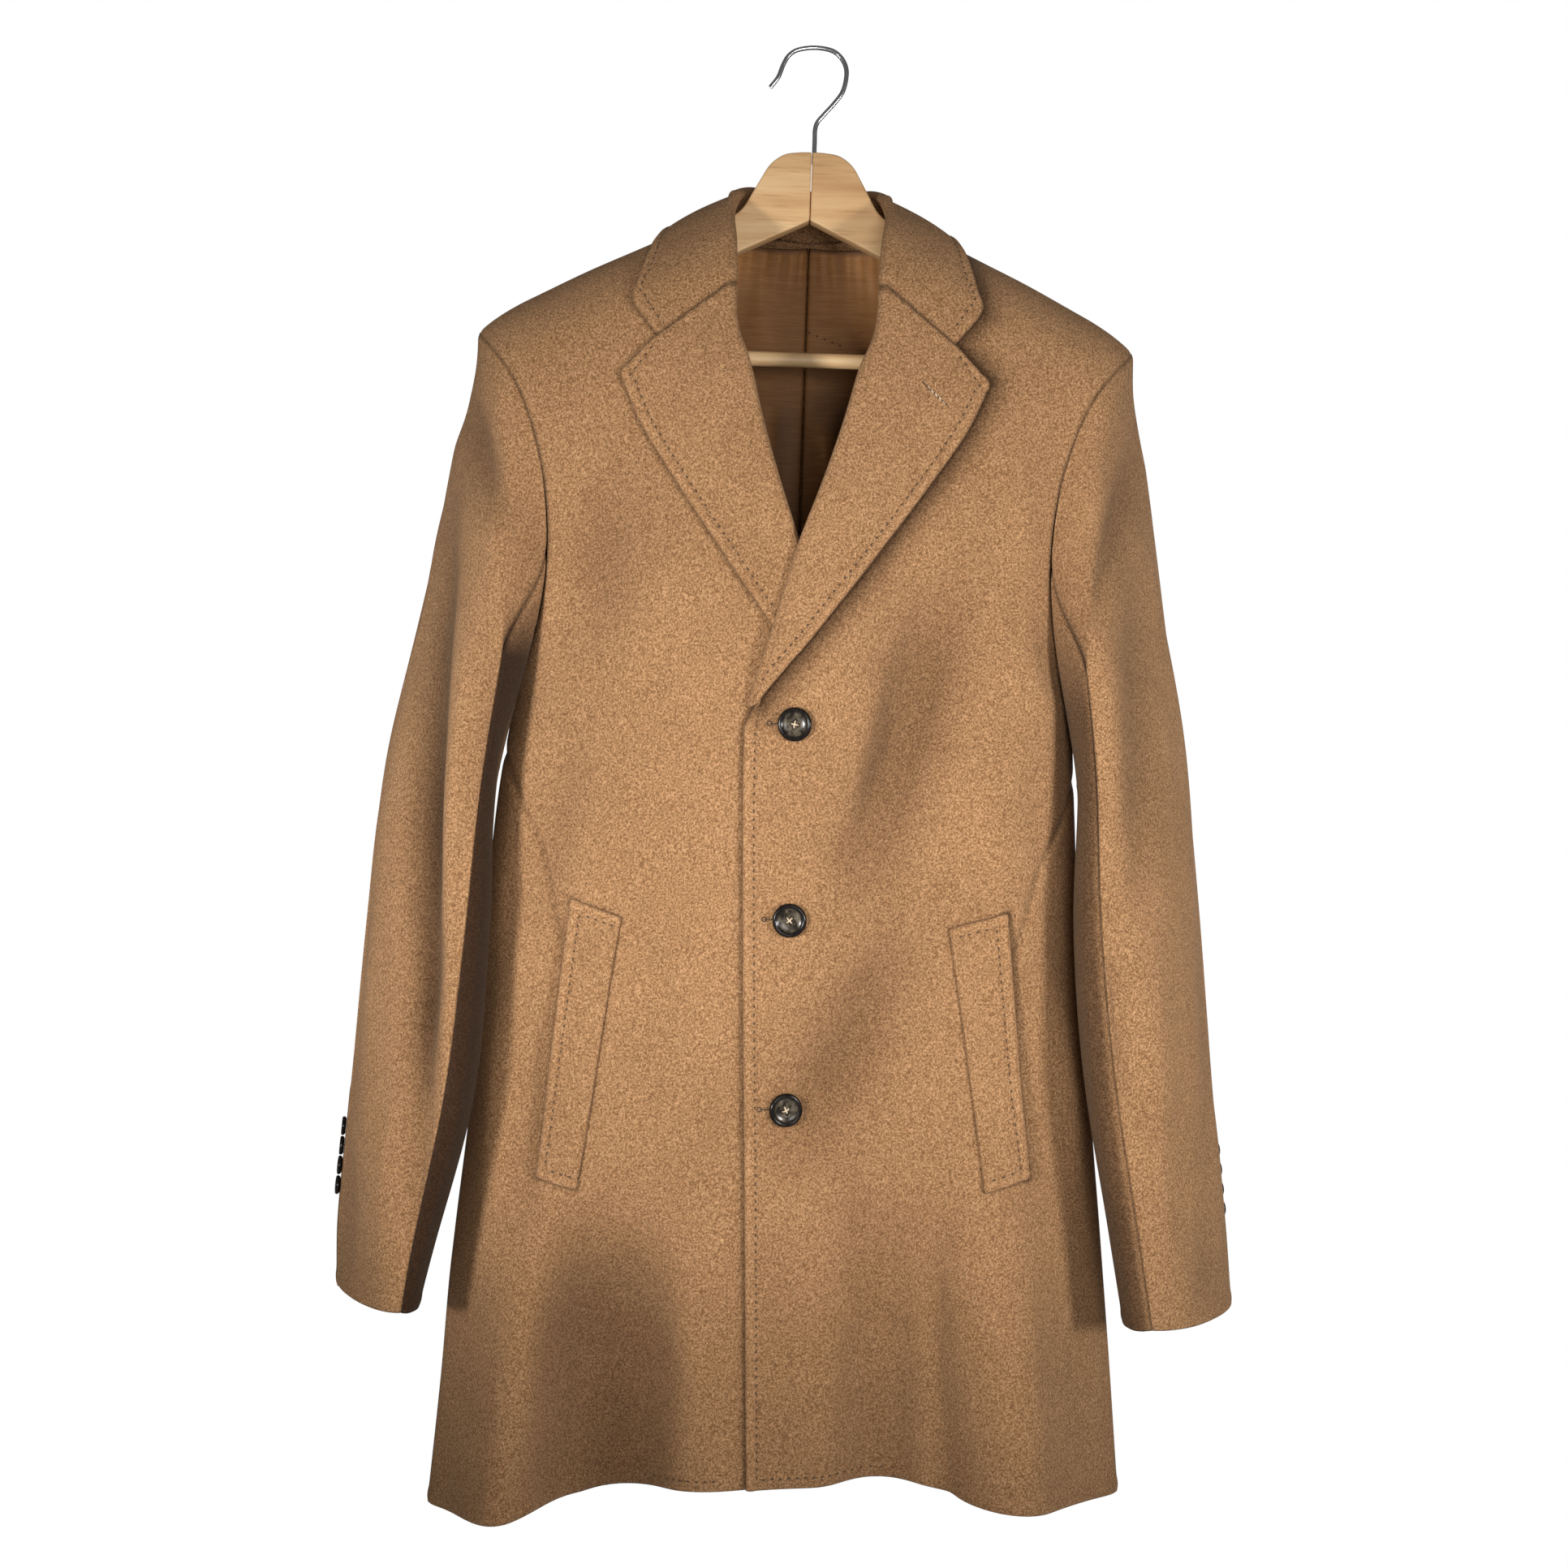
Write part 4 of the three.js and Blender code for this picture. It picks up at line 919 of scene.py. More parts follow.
def make_sleeve(side, part):
    first, last = {
        "top": (BACK_SEAM_LOOP, FRONT_SEAM_LOOP),
        "under": (FRONT_SEAM_LOOP, BACK_SEAM_LOOP + LOOP),
    }[part]
    across = spaced(SLEEVE_AROUND, 3.4)
    place = (first + (last - first) * across)[None, :]
    near_top = np.array([0, 1.2, 2.6, 4.2, 6, 8]) / SLEEVE_LENGTH
    below = spaced(SLEEVE_LENGTH - 8, 3.8, fine_start=False)[1:]
    share = np.concatenate([near_top, mix(near_top[-1], 1, below)])
    plain = sleeve_points(side, place, share[:, None])
    normals = sleeve_normals(side, plain)
    x, y, z = (plain[..., k] for k in range(3))
    creases = crease_depth((side, "sleeve_front"), x, z) * ease(-normals[..., 1], 0.0, 0.5)
    creases = creases + crease_depth((side, "sleeve_back"), x, z) * ease(normals[..., 1], 0.0, 0.5)
    disp = creases + hand_ripple(x + y, z, RIPPLE_PHASE["sleeve"])
    # The inner side, next to the coat, stays smooth
    sign = SIGN[side]
    disp = disp * ease(sign * normals[..., 0], -0.9, -0.3)
    to_first = (across * SLEEVE_AROUND)[None, :] + 0 * z
    to_last = ((1 - across) * SLEEVE_AROUND)[None, :] + 0 * z
    to_back = to_first if part == "top" else to_last
    to_front = to_last if part == "top" else to_first
    drop = np.abs(plain[0, :, 2][None, :] - z)
    disp = disp * ease(to_first, 0, 14) * ease(to_last, 0, 14) * ease(drop, 0, 22)
    # Below the elbow the top piece lies over the under piece at the back seam
    low = ease(-z, -SEAM_STEP_ZONE[1], -SEAM_STEP_ZONE[0])
    disp = disp + seam_dip(to_front) + seam_dip(to_back) * (1 - low) + seam_dip(drop)
    step = SEAM_STEP[part] * gauss(to_back, 5)
    vent = VENT_STEP * ease(-z, -VENT_TOP_Z - 4, -VENT_TOP_Z + 4) * gauss(to_back, 9)
    disp = disp + step * low + (vent if part == "under" else 0)
    disp = disp + 0.6 * gauss(z - CUFF_Z[side] - 4, 4) + sleeve_swell(side, z, sign * normals[..., 0])
    # Painted shade in the troughs of the creases and in the front and armhole seams
    tone = fold_tone("sleeve", creases) + SEAM_SHADE * (gauss(to_front, 1.4) + gauss(drop, 1.8))
    # The side next to the coat lies in shade
    tone = tone + INNER_SIDE_TONE * ease(-sign * normals[..., 0], 0.05, 0.6) * low
    # Painted shade in the back seam above the elbow, and below it on the under piece beside the edge of the
    # top piece
    back_tone = gauss(to_back, 1.4) * (1 - low)
    if part == "under":
        # Painted shade on the strip beside the front seam
        tone = tone + FRONT_STRIP_SHADE[side] * (1 - ease(to_front, 18, 40)) * low
        back_tone = back_tone + (gauss(to_back, 3) + 0.4 * gauss(to_back, 16)) * low
    else:
        # A painted highlight along the edge of the top piece where it lies over the under piece
        tone = tone + EDGE_LIGHT * gauss(to_back - 1.6, 1.4) * low
    tone = tone + SEAM_SHADE * back_tone
    outer = plain + normals * disp[..., None]
    inner = outer - normals * CLOTH
    name = f"sleeve_{part}_{side}"
    piece = cloth_wall(f"{name}_cloth", outer, inner, materials["wool"], tone)
    register(name)
    declare_cut(outer)


# Lapels and collar: an inner leg, an arc round the panel's edge and a fall
LEG_STEPS = 4
ARC_STEPS = 10
FOLD_COLUMNS = LEG_STEPS + ARC_STEPS + 1
FAR = 1e3


def distance_to_edge(grid):
    """From the free edge of the fall, and far away on the leg and the arc."""
    to_edge = np.linalg.norm(grid[:, -1:, :] - grid, axis=-1)
    to_edge[:, :FOLD_COLUMNS] = FAR
    return to_edge


def distance_from_top(grid):
    """From the first row, along each column."""
    steps = np.linalg.norm(np.diff(grid, axis=0), axis=-1)
    return np.vstack([np.zeros((1, grid.shape[1])), np.cumsum(steps, axis=0)])


def folded_edge(panel, x, z, wrap, leg):
    """Points of the leg and arc for each row, as an array of rows by columns."""
    x = np.atleast_1d(x)
    z = np.atleast_1d(z)
    normal = panel.normal(x, z)
    middle = panel.point(x, z) - normal * CLOTH / 2
    radius = CLOTH / 2 + LAYER_GAP + FOLDED_CLOTH
    across = np.array([panel.sign, 0.0, 0.0])
    side = unit(across - normal * (normal @ across)[:, None])
    wrap = np.broadcast_to(wrap, x.shape)
    end_angle = math.pi * mix(0.5, 1, wrap)
    columns = []
    leg_start = (
        middle
        + normal * (radius * np.cos(end_angle))[:, None]
        - side * (radius * np.sin(end_angle))[:, None]
    )
    direction = -side * np.cos(end_angle)[:, None] - normal * np.sin(end_angle)[:, None]
    leg = mix(0.8, np.broadcast_to(leg, x.shape), wrap)
    for i in range(LEG_STEPS):
        columns.append(leg_start + direction * (leg * (1 - i / LEG_STEPS))[:, None])
    for i in range(ARC_STEPS + 1):
        angle = end_angle * (1 - i / ARC_STEPS)
        columns.append(
            middle
            + normal * (radius * np.cos(angle))[:, None]
            - side * (radius * np.sin(angle))[:, None]
        )
    return np.stack(columns, axis=1)


def fall_points(panel, x, z, share, puff):
    out = LAYER_GAP + FOLDED_CLOTH + LAPEL_PUFF * puff * np.sin(math.pi * share) * (1 - share)
    return panel.point(x, z, out + relief("front", x, z))


def thicken(name, outer, disp, thickness, towards, tone):
    """A folded wall: its plain points raised by disp, and its other side."""
    normals = grid_normals(outer)
    if (normals * towards).sum(axis=-1).mean() < 0:
        normals = -normals
    raised = outer + normals * disp[..., None]
    inner = outer - normals * thickness
    return cloth_wall(name, raised, inner, materials["wool"], tone)


LAPEL_LENGTH = 290
LAPEL_WIDTH = 78


def lapel_grid(side):
    panel = panels[side, "front"]
    sign = panel.sign
    end_z = UPPER_LAPEL_END_Z if side == "left" else UNDER_LAPEL_END_Z
    t = spaced(LAPEL_LENGTH, 2.6)
    share = spaced(LAPEL_WIDTH, 2.4, fine_start=False)[1:]
    neck_z = mix(GORGE_END[1] - 0.45, end_z - 1, mix(t, np.sqrt(t), 0.25))
    neck_x = front_edge.at(neck_z, "x")
    top = 1 - ease(t, 0, 0.14)
    neck_x = mix(neck_x, GORGE_END[0], top)
    edge_z = mix(LAPEL_TIP[1], end_z, mix(t, t * t, 0.2))
    edge_x = lapel_edge.at(edge_z, "x")
    x = mix(neck_x[:, None], edge_x[:, None], share[None, :])
    z = mix(neck_z[:, None], edge_z[:, None], share[None, :])
    # The first rows follow the gorge seam to the notch, then run to the tip
    along_gorge = np.clip(share / GORGE_SHARE, 0, 1)
    past_notch = np.clip((share - GORGE_SHARE) / (1 - GORGE_SHARE), 0, 1)
    line_x = mix(mix(GORGE_END[0], COLLAR_NOTCH[0], along_gorge), LAPEL_TIP[0], past_notch)
    line_z = mix(mix(GORGE_END[1], COLLAR_NOTCH[1], along_gorge), LAPEL_TIP[1], past_notch) - 0.45
    bend = (1 - np.clip(t / 0.16, 0, 1))[:, None]
    x = x + (line_x - x[0])[None, :] * bend
    z = z + (line_z - z[0])[None, :] * bend
    wrap = ease(neck_z, -352, -325) if side == "left" else np.ones_like(neck_z)
    edge = folded_edge(panel, sign * neck_x, neck_z, wrap, INNER_LEG)
    puff = ease(neck_z, -350, -300)[:, None]
    fall = fall_points(panel, sign * x, z, share[None, :], puff)
    grid = np.concatenate([edge, fall], axis=1)
    return panel, grid, t, share


def make_lapel(side):
    panel, grid, t, share = lapel_grid(side)
    to_edge = distance_to_edge(grid)
    to_top = distance_from_top(grid)
    past_notch = ease(share, GORGE_SHARE - 0.02, GORGE_SHARE + 0.06)
    past_notch = np.concatenate([np.zeros(FOLD_COLUMNS), past_notch])
    disp = stitched_rim(to_edge)
    disp = disp + past_notch * stitched_rim(to_top) + (1 - past_notch) * seam_dip(to_top) * 0.8
    # Painted highlight on the stitched rims, painted shade in their grooves and in the gorge seam
    tone = rim_painted_light(to_edge) + past_notch * rim_painted_light(to_top)
    tone = tone + (1 - past_notch) * SEAM_SHADE * gauss(to_top, 1.3)
    mask = np.where(np.arange(grid.shape[1]) < LEG_STEPS + 2, -1.0, 1.0)
    towards = np.array([0.0, -1.0, 0.0]) * mask[None, :, None]
    piece = thicken(f"lapel_{side}_cloth", grid, disp, FOLDED_CLOTH, towards, tone)
    register(f"lapel_{side}")
    declare_cut(grid)


FALL_STEPS = 26


def collar_front_row(panel, neck, edge, leg):
    share = np.linspace(0, 1, FALL_STEPS + 1)[1:]
    x = mix(neck[0], edge[0], share)
    z = mix(neck[1], edge[1], share)
    start = folded_edge(panel, panel.sign * neck[0], neck[1], 1.0, leg)[0]
    fall = fall_points(panel, panel.sign * x, z, share, 1.0)
    return np.concatenate([start, fall])


def collar_back_row(station, sign):
    foot, roll, edge = (np.array(point, float) * (sign, 1, 1) for point in station)
    out = unit(np.array([edge[0] - roll[0], edge[1] - roll[1], 0.0]))
    middle = roll - (0, 0, COLLAR_FOLD_RADIUS)
    arc = []
    for i in range(ARC_STEPS + 1):
        angle = math.pi * (1 - i / ARC_STEPS)
        up = np.array([0, 0, math.sin(angle)])
        arc.append(middle + COLLAR_FOLD_RADIUS * (out * math.cos(angle) + up))
    leg = [mix(foot, arc[0], i / LEG_STEPS) for i in range(LEG_STEPS)]
    fall = []
    for i in range(1, FALL_STEPS + 1):
        t = i / FALL_STEPS
        puff = COLLAR_PUFF * math.sin(math.pi * t)
        fall.append(mix(arc[-1], edge, t) + puff * (out + (0, 0, 1)))
    return np.array(leg + arc + fall)


def through(rows, per_step):
    """More rows on smooth curves through the given ones."""
    rows = np.asarray(rows)
    count = len(rows)
    padded = np.concatenate([[2 * rows[0] - rows[1]], rows, [2 * rows[-1] - rows[-2]]])
    out = []
    for i in range(count - 1):
        a, b, c, d = padded[i:i + 4]
        for k in range(per_step[i]):
            t = k / per_step[i]
            out.append(0.5 * (2 * b + (c - a) * t + (2 * a - 5 * b + 4 * c - d) * t**2
                              + (3 * b - a - 3 * c + d) * t**3))
    out.append(rows[-1])
    return np.array(out)


def collar_half(side):
    panel = panels[side, "front"]
    rows = [collar_front_row(panel, GORGE_END, COLLAR_NOTCH, INNER_LEG)]
    for row, edge, leg in COLLAR_FRONT:
        x, z, _, _ = panel_places(panel, [row], [0.0])
        neck = (abs(x[0, 0]) - COLLAR_INSET, z[0, 0])
        rows.append(collar_front_row(panel, neck, edge, leg))
    for station in COLLAR_STATIONS:
        rows.append(collar_back_row(station, panel.sign))
    return rows


def make_collar():
    left = collar_half("left")
    right = collar_half("right")
    rows = right + left[-2::-1]
    first = [12, 8, 7, 8, 6, 10, 9, 6, 6]
    grid = through(rows, first + first[::-1])
    # The fall stays clear of the fronts, back and shoulders
    fall = grid[:, FOLD_COLUMNS:]
    for (side, face), panel in panels.items():
        x, y, z = (fall[..., i] for i in range(3))
        here = (x * panel.sign > 0) & (y * panel.facing > 0) & (z < shoulder_z(x) - 1)
        least = np.abs(panel.y(x, z)) + LAYER_GAP + FOLDED_CLOTH
        push = np.where(here, np.maximum(least - np.abs(y), 0), 0)
        fall[..., 1] = y + panel.facing * push
    to_edge = distance_to_edge(grid)
    to_right = distance_from_top(grid)
    to_left = to_right[-1:] - to_right
    disp = stitched_rim(to_edge)
    disp = disp + 0.8 * seam_dip(to_right) + 0.8 * seam_dip(to_left)
    # Painted highlight on the stitched rim, painted shade in its groove and in the seams at both ends
    tone = rim_painted_light(to_edge) + SEAM_SHADE * (gauss(to_right, 1.3) + gauss(to_left, 1.3))
    centre = np.stack([grid[..., 0] * 0, grid[..., 1] * 0 + 10, grid[..., 2]], axis=-1)
    towards = grid - centre
    mask = np.where(np.arange(grid.shape[1]) < LEG_STEPS + 3, -1.0, 1.0)
    towards = towards * mask[None, :, None]
    piece = thicken("collar_cloth", grid, disp, FOLDED_CLOTH, towards, tone)
    register("collar")
    declare_cut(grid)
    return grid


# Welts
def welt_place(side, along, across):
    a, b, c, d = WELTS[side]
    start = (mix(a[0], d[0], along), mix(a[1], d[1], along))
    end = (mix(b[0], c[0], along), mix(b[1], c[1], along))
    return mix(start[0], end[0], across), mix(start[1], end[1], across)


WELT_WIDTH = 33
WELT_LENGTH = 184
WELT_RISE = 2.4
WELT_GAPE = 2.4


def make_welt(side):
    panel = panels[side, "front"]
    along = spaced(WELT_LENGTH, 3.0)
    across = spaced(WELT_WIDTH, 2.2)
    x, z = welt_place(side, along[:, None], across[None, :])
    to_open = across[None, :] * WELT_WIDTH + 0 * z
    to_front = (1 - across[None, :]) * WELT_WIDTH + 0 * z
    to_top = along[:, None] * WELT_LENGTH + 0 * z
    to_bottom = (1 - along[:, None]) * WELT_LENGTH + 0 * z
    base = relief("front", x, z)
    rim = stitched_rim(to_open) + 0.7 * stitched_rim(to_top) + 0.7 * stitched_rim(to_bottom)
    # Painted highlight on the stitched rims, painted shade in their grooves and in the troughs of the
    # creases
    tone = rim_painted_light(to_open) + rim_painted_light(to_top) + rim_painted_light(to_bottom)
    tone = tone + fold_tone("front", crease_depth("front", x, z))
    gape = WELT_GAPE * gauss(to_open, 9) * mouth_swell(along)[:, None]
    plain = panel.point(x, z)
    normal = panel.normal(x, z)
    outer = plain + normal * (base + WELT_RISE + rim + gape)[..., None]
    inner = plain + normal * (base - 0.3 + gape)[..., None]
    piece = cloth_wall(f"welt_{side}_cloth", outer, inner, materials["wool"], tone)
    register(f"welt_{side}")
    declare_cut(outer)


# Lining
LINING_GAP = 3.2
LINING_CLOTH = 1.0
LINING_TOP_DROP = -2
LINING_BOTTOM_Z = -500
LINING_HALF = 150
LINING_LENGTH = 370
LINING_SLOPE = 14
GATHERS = [
    (-52, 3.2), (-44, 2.2), (-33, 2.8), (-22, 2.0), (-12, 2.8), (-5, 2.0),
    (10, 2.4), (18, 2.6), (30, 2.0), (38, 3.0), (47, 2.4), (57, 3.0),
]
GATHER_DEPTH = 2.2
LINING_LEAST = -1.8
LINING_FOLDS = [
    (-30, -226, -20, -430, 9, 3.2), (-15, -236, -30, -400, 6, -2.8), (18, -236, 8, -420, 8, 3.2),
    (26, -232, 36, -380, 7, -3.0), (-56, -200, -70, -400, 11, 3.0), (58, -210, 74, -420, 11, 3.2),
    (-36, -130, -28, -214, 10, 1.6), (24, -134, 34, -214, 11, 1.8), (8, -250, 22, -300, 5, 2.2),
]


def make_lining(side):
    panel = panels[side, "back"]
    across = spaced(LINING_HALF, 2.2, fine_end=False)
    along = spaced(LINING_LENGTH, 3.0, fine_end=False)
    x = panel.sign * mix(2 * SEAM_GAP, LINING_HALF, across)[None, :]
    under = top_z("back", x) - across[None, :] * LINING_SLOPE + LINING_TOP_DROP
    z = mix(under, LINING_BOTTOM_Z, along[:, None])
    x = x + 0 * z
    depth = z * 0
    fall_from_top = under - z
    for gather_x, width in GATHERS:
        swell = GATHER_DEPTH * gauss(fall_from_top, 26) * ease(fall_from_top, 0, 5)
        depth = depth + swell * gauss(x - gather_x - 0.06 * fall_from_top * np.sign(gather_x), width)
    for x_top, z_top, x_bottom, z_bottom, width, size in LINING_FOLDS:
        t = np.clip((z_top - z) / (z_top - z_bottom), 0, 1)
        depth = depth + size * np.sin(math.pi * t) * gauss(x - mix(x_top, x_bottom, t), width)
    depth = depth - 1.0 * gauss(np.abs(x), 1.6)
    # The lining keeps clear of the troughs of the back
    room = np.maximum(depth, LINING_LEAST) - np.minimum(relief("back", x, z), 0)
    # Painted shade at the middle seam, under the neck seam and below the trouser bar
    tone = -0.3 * gauss(np.abs(x), 1.0) - 0.5 * gauss(fall_from_top, 2.5) - 0.3 * ease(-z, 205, 260)
    # Painted highlight on the gathers and folds, which are lighter than the cloth between them, and the
    # whole lining a little darker
    tone = tone + 0.14 * depth - 0.3
    normal = panel.normal(x, z)
    plain = panel.point(x, z)
    # The side that shows looks forward, away from the back panel
    shown = plain - normal * (CLOTH + LINING_GAP + LINING_CLOTH + room)[..., None]
    hidden = plain - normal * (CLOTH + LINING_GAP + room)[..., None]
    piece = cloth_wall(f"lining_{side}_cloth", shown, hidden, materials["lining"], tone)
    register(f"lining_{side}")
    declare_cut(shown)


# Stitches: short threads in a row along a line, joined in one mesh
STITCH_PITCH = 5.7
STITCH_LENGTH = 2.5
STITCH_WIDTH = 1.5
STITCH_HEIGHT = 0.9
STITCH_OUT = 0.12
STITCH_SIDES = 6
STITCH_RINGS = [(-1.0, 0.0), (-0.72, 0.75), (0.0, 1.0), (0.72, 0.75), (1.0, 0.0)]


def resample(line, pitch, start=0.5):
    line = np.asarray(line, float)
    steps = np.linalg.norm(np.diff(line, axis=0), axis=1)
    along = np.concatenate([[0], np.cumsum(steps)])
    at = np.arange(pitch * start, along[-1], pitch)
    return np.stack([np.interp(at, along, line[:, k]) for k in range(3)], axis=1)


def stitch_row(points, normals, length=STITCH_LENGTH, width=STITCH_WIDTH, height=STITCH_HEIGHT):
    """Vertices and faces of one stitch at each point, lying along the row."""
    ahead = unit(np.gradient(points, axis=0))
    side = unit(np.cross(ahead, normals))
    verts = []
    faces = []
    for place, forward, across, up in zip(points, ahead, side, normals):
        base = len(verts)
        for along, fat in STITCH_RINGS:
            for k in range(STITCH_SIDES):
                angle = 2 * math.pi * k / STITCH_SIDES
                verts.append(
                    place
                    + forward * along * length / 2
                    + across * math.cos(angle) * fat * width / 2
                    + up * math.sin(angle) * fat * height / 2
                )
        for ring in range(len(STITCH_RINGS) - 1):
            for k in range(STITCH_SIDES):
                a = base + ring * STITCH_SIDES + k
                b = base + ring * STITCH_SIDES + (k + 1) % STITCH_SIDES
                faces.append((a, b, b + STITCH_SIDES, a + STITCH_SIDES))
    return verts, faces


class StitchSet:
    """Collects rows of stitches and makes them one piece."""

    def __init__(self, name):
        self.name = name
        self.verts = []
        self.faces = []

    def sew(self, piece, places, out=STITCH_OUT, **sizes):
        """A row of stitches at the places, on the skin of a piece."""
        points, normals = skins[piece].lay(places, out)
        self.add(points, normals, **sizes)

    def add(self, points, normals, **sizes):
        verts, faces = stitch_row(points, normals, **sizes)
        base = len(self.verts)
        self.verts += verts
        self.faces += [tuple(base + i for i in face) for face in faces]

    def finish(self, material):
        piece = add_mesh(self.name, np.array(self.verts), self.faces, material)
        bm = bmesh.new()
        bm.from_mesh(piece.data)
        bmesh.ops.remove_doubles(bm, verts=bm.verts, dist=1e-6)
        bm.to_mesh(piece.data)
        bm.free()
        return piece


def on_panel(panel, x, z, out=0.0):
    x = np.asarray(x, float)
    z = np.asarray(z, float)
    return panel.point(x, z, relief(panel.face, x, z) + out)


def row_on_panel(panel, line, out=0.0, pitch=STITCH_PITCH):
    """Evenly spaced places along a line of x and z, on a panel moved out."""
    flat = np.array([(x, 0.0, z) for x, z in line])
    places = resample(flat, pitch)
    return on_panel(panel, places[:, 0], places[:, 2], out)


def inset_line(points, inset, inward):
    """A line of x and z moved sideways by inset, towards the inward direction."""
    points = np.array(points, float)
    along = unit(np.gradient(points, axis=0))
    side = np.stack([-along[:, 1], along[:, 0]], axis=1)
    if (side @ np.array(inward)).mean() < 0:
        side = -side
    return points + side * inset


ON_LAPEL = LAYER_GAP + FOLDED_CLOTH
LAPEL_STITCH_END_Z = {"left": -452, "right": -414}
HEM_STITCHES = {"right": (-108, -36), "left": (-6, 92)}


def make_stitches():
    pick = StitchSet("pick_stitches")
    zs = np.linspace(-474, hem.at(-14, "z") + STITCH_INSET, 60)
    line = [(float(front_edge.at(z, "x")) + STITCH_INSET, float(z)) for z in zs]
    pick.sew("front_left_cloth", row_on_panel(panels["left", "front"], line))
    for side in ("right", "left"):
        panel = panels[side, "front"]
        sign = panel.sign
        zs = np.linspace(LAPEL_TIP[1] - 7, LAPEL_STITCH_END_Z[side], 60)
        edge = [(float(lapel_edge.at(z, "x")), float(z)) for z in zs]
        line = inset_line(edge, STITCH_INSET, (-1, 0.2)) * (sign, 1)
        pick.sew(f"lapel_{side}_cloth", row_on_panel(panel, line, ON_LAPEL))
        start = (COLLAR_NOTCH[0] + 3, COLLAR_NOTCH[1] - 7.5)
        end = (LAPEL_TIP[0] - 5, LAPEL_TIP[1] - 4)
        notch = np.linspace(start, end, 12) * (sign, 1)
        pick.sew(f"lapel_{side}_cloth", row_on_panel(panel, notch, ON_LAPEL))
        across = STITCH_INSET / WELT_WIDTH
        line = np.stack(welt_place(side, np.linspace(0.035, 0.965, 40), across), axis=1)
        pick.sew(f"welt_{side}_cloth", row_on_panel(panel, line, WELT_RISE))
        for along in (STITCH_INSET / WELT_LENGTH, 1 - STITCH_INSET / WELT_LENGTH):
            line = np.stack(welt_place(side, along, np.linspace(0.3, 0.95, 12)), axis=1)
            pick.sew(f"welt_{side}_cloth", row_on_panel(panel, line, WELT_RISE))
        xs = np.linspace(*HEM_STITCHES[side], 30)
        line = [(float(x), float(hem.at(x, "z")) + STITCH_INSET) for x in xs]
        pick.sew(f"front_{side}_cloth", row_on_panel(panel, line))
    pick.finish(materials["stitch"])


def make_collar_stitches(grid):
    pick = StitchSet("collar_stitches")
    to_edge = distance_to_edge(grid)[3:-3, FOLD_COLUMNS:]
    column = FOLD_COLUMNS + np.argmin(np.abs(to_edge - STITCH_INSET), axis=1)
    line = grid[np.arange(3, len(grid) - 3), column]
    pick.sew("collar_cloth", resample(line, STITCH_PITCH))
    pick.finish(materials["stitch"])


# A few stitches show on the lining, in a slanting row
LINING_STITCHES = [(2.5, -187.5), (25, -196)]


def make_lining_stitches():
    tack = StitchSet("lining_stitches")
    flat = np.linspace(*LINING_STITCHES, 5)
    place = panels["left", "back"].point(flat[:, 0], flat[:, 1], -CLOTH - LINING_GAP - LINING_CLOTH)
    tack.sew("lining_left_cloth", place, length=2.0, width=1.0, height=0.8)
    tack.finish(materials["dark_thread"])


# Seam lines that lie on a panel: narrow dark ribbons sunk in their grooves, as painted shade of the grooves
def make_ribbon(name, panel, line, width, material):
    flat = np.array([(x, 0.0, z) for x, z in line])
    places = resample(flat, 2.0)
    skin = skins[f"{panel.face}_{panel.side}_cloth"]
    points, normals = skin.lay(on_panel(panel, places[:, 0], places[:, 2]), 0.05)
    for grid in (points, normals):
        grid[1:-1] = (grid[:-2] + grid[1:-1] + grid[2:]) / 3
    ahead = unit(np.gradient(points, axis=0))
    side = unit(np.cross(ahead, normals)) * width / 2
    top = np.stack([points - side, points, points + side], axis=1)
    piece = cloth_wall(name, top, top - normals[:, None, :] * 0.5, material, bulge=0.1)


# Buttons
def lathe(profile, sides):
    verts = []
    faces = []
    for radius, height in profile:
        for k in range(sides):
            angle = 2 * math.pi * k / sides
            verts.append((radius * math.cos(angle), height, radius * math.sin(angle)))
    for ring in range(len(profile) - 1):
        for k in range(sides):
            a = ring * sides + k
            b = ring * sides + (k + 1) % sides
            faces.append((a, b, b + sides, a + sides))
    return verts, faces


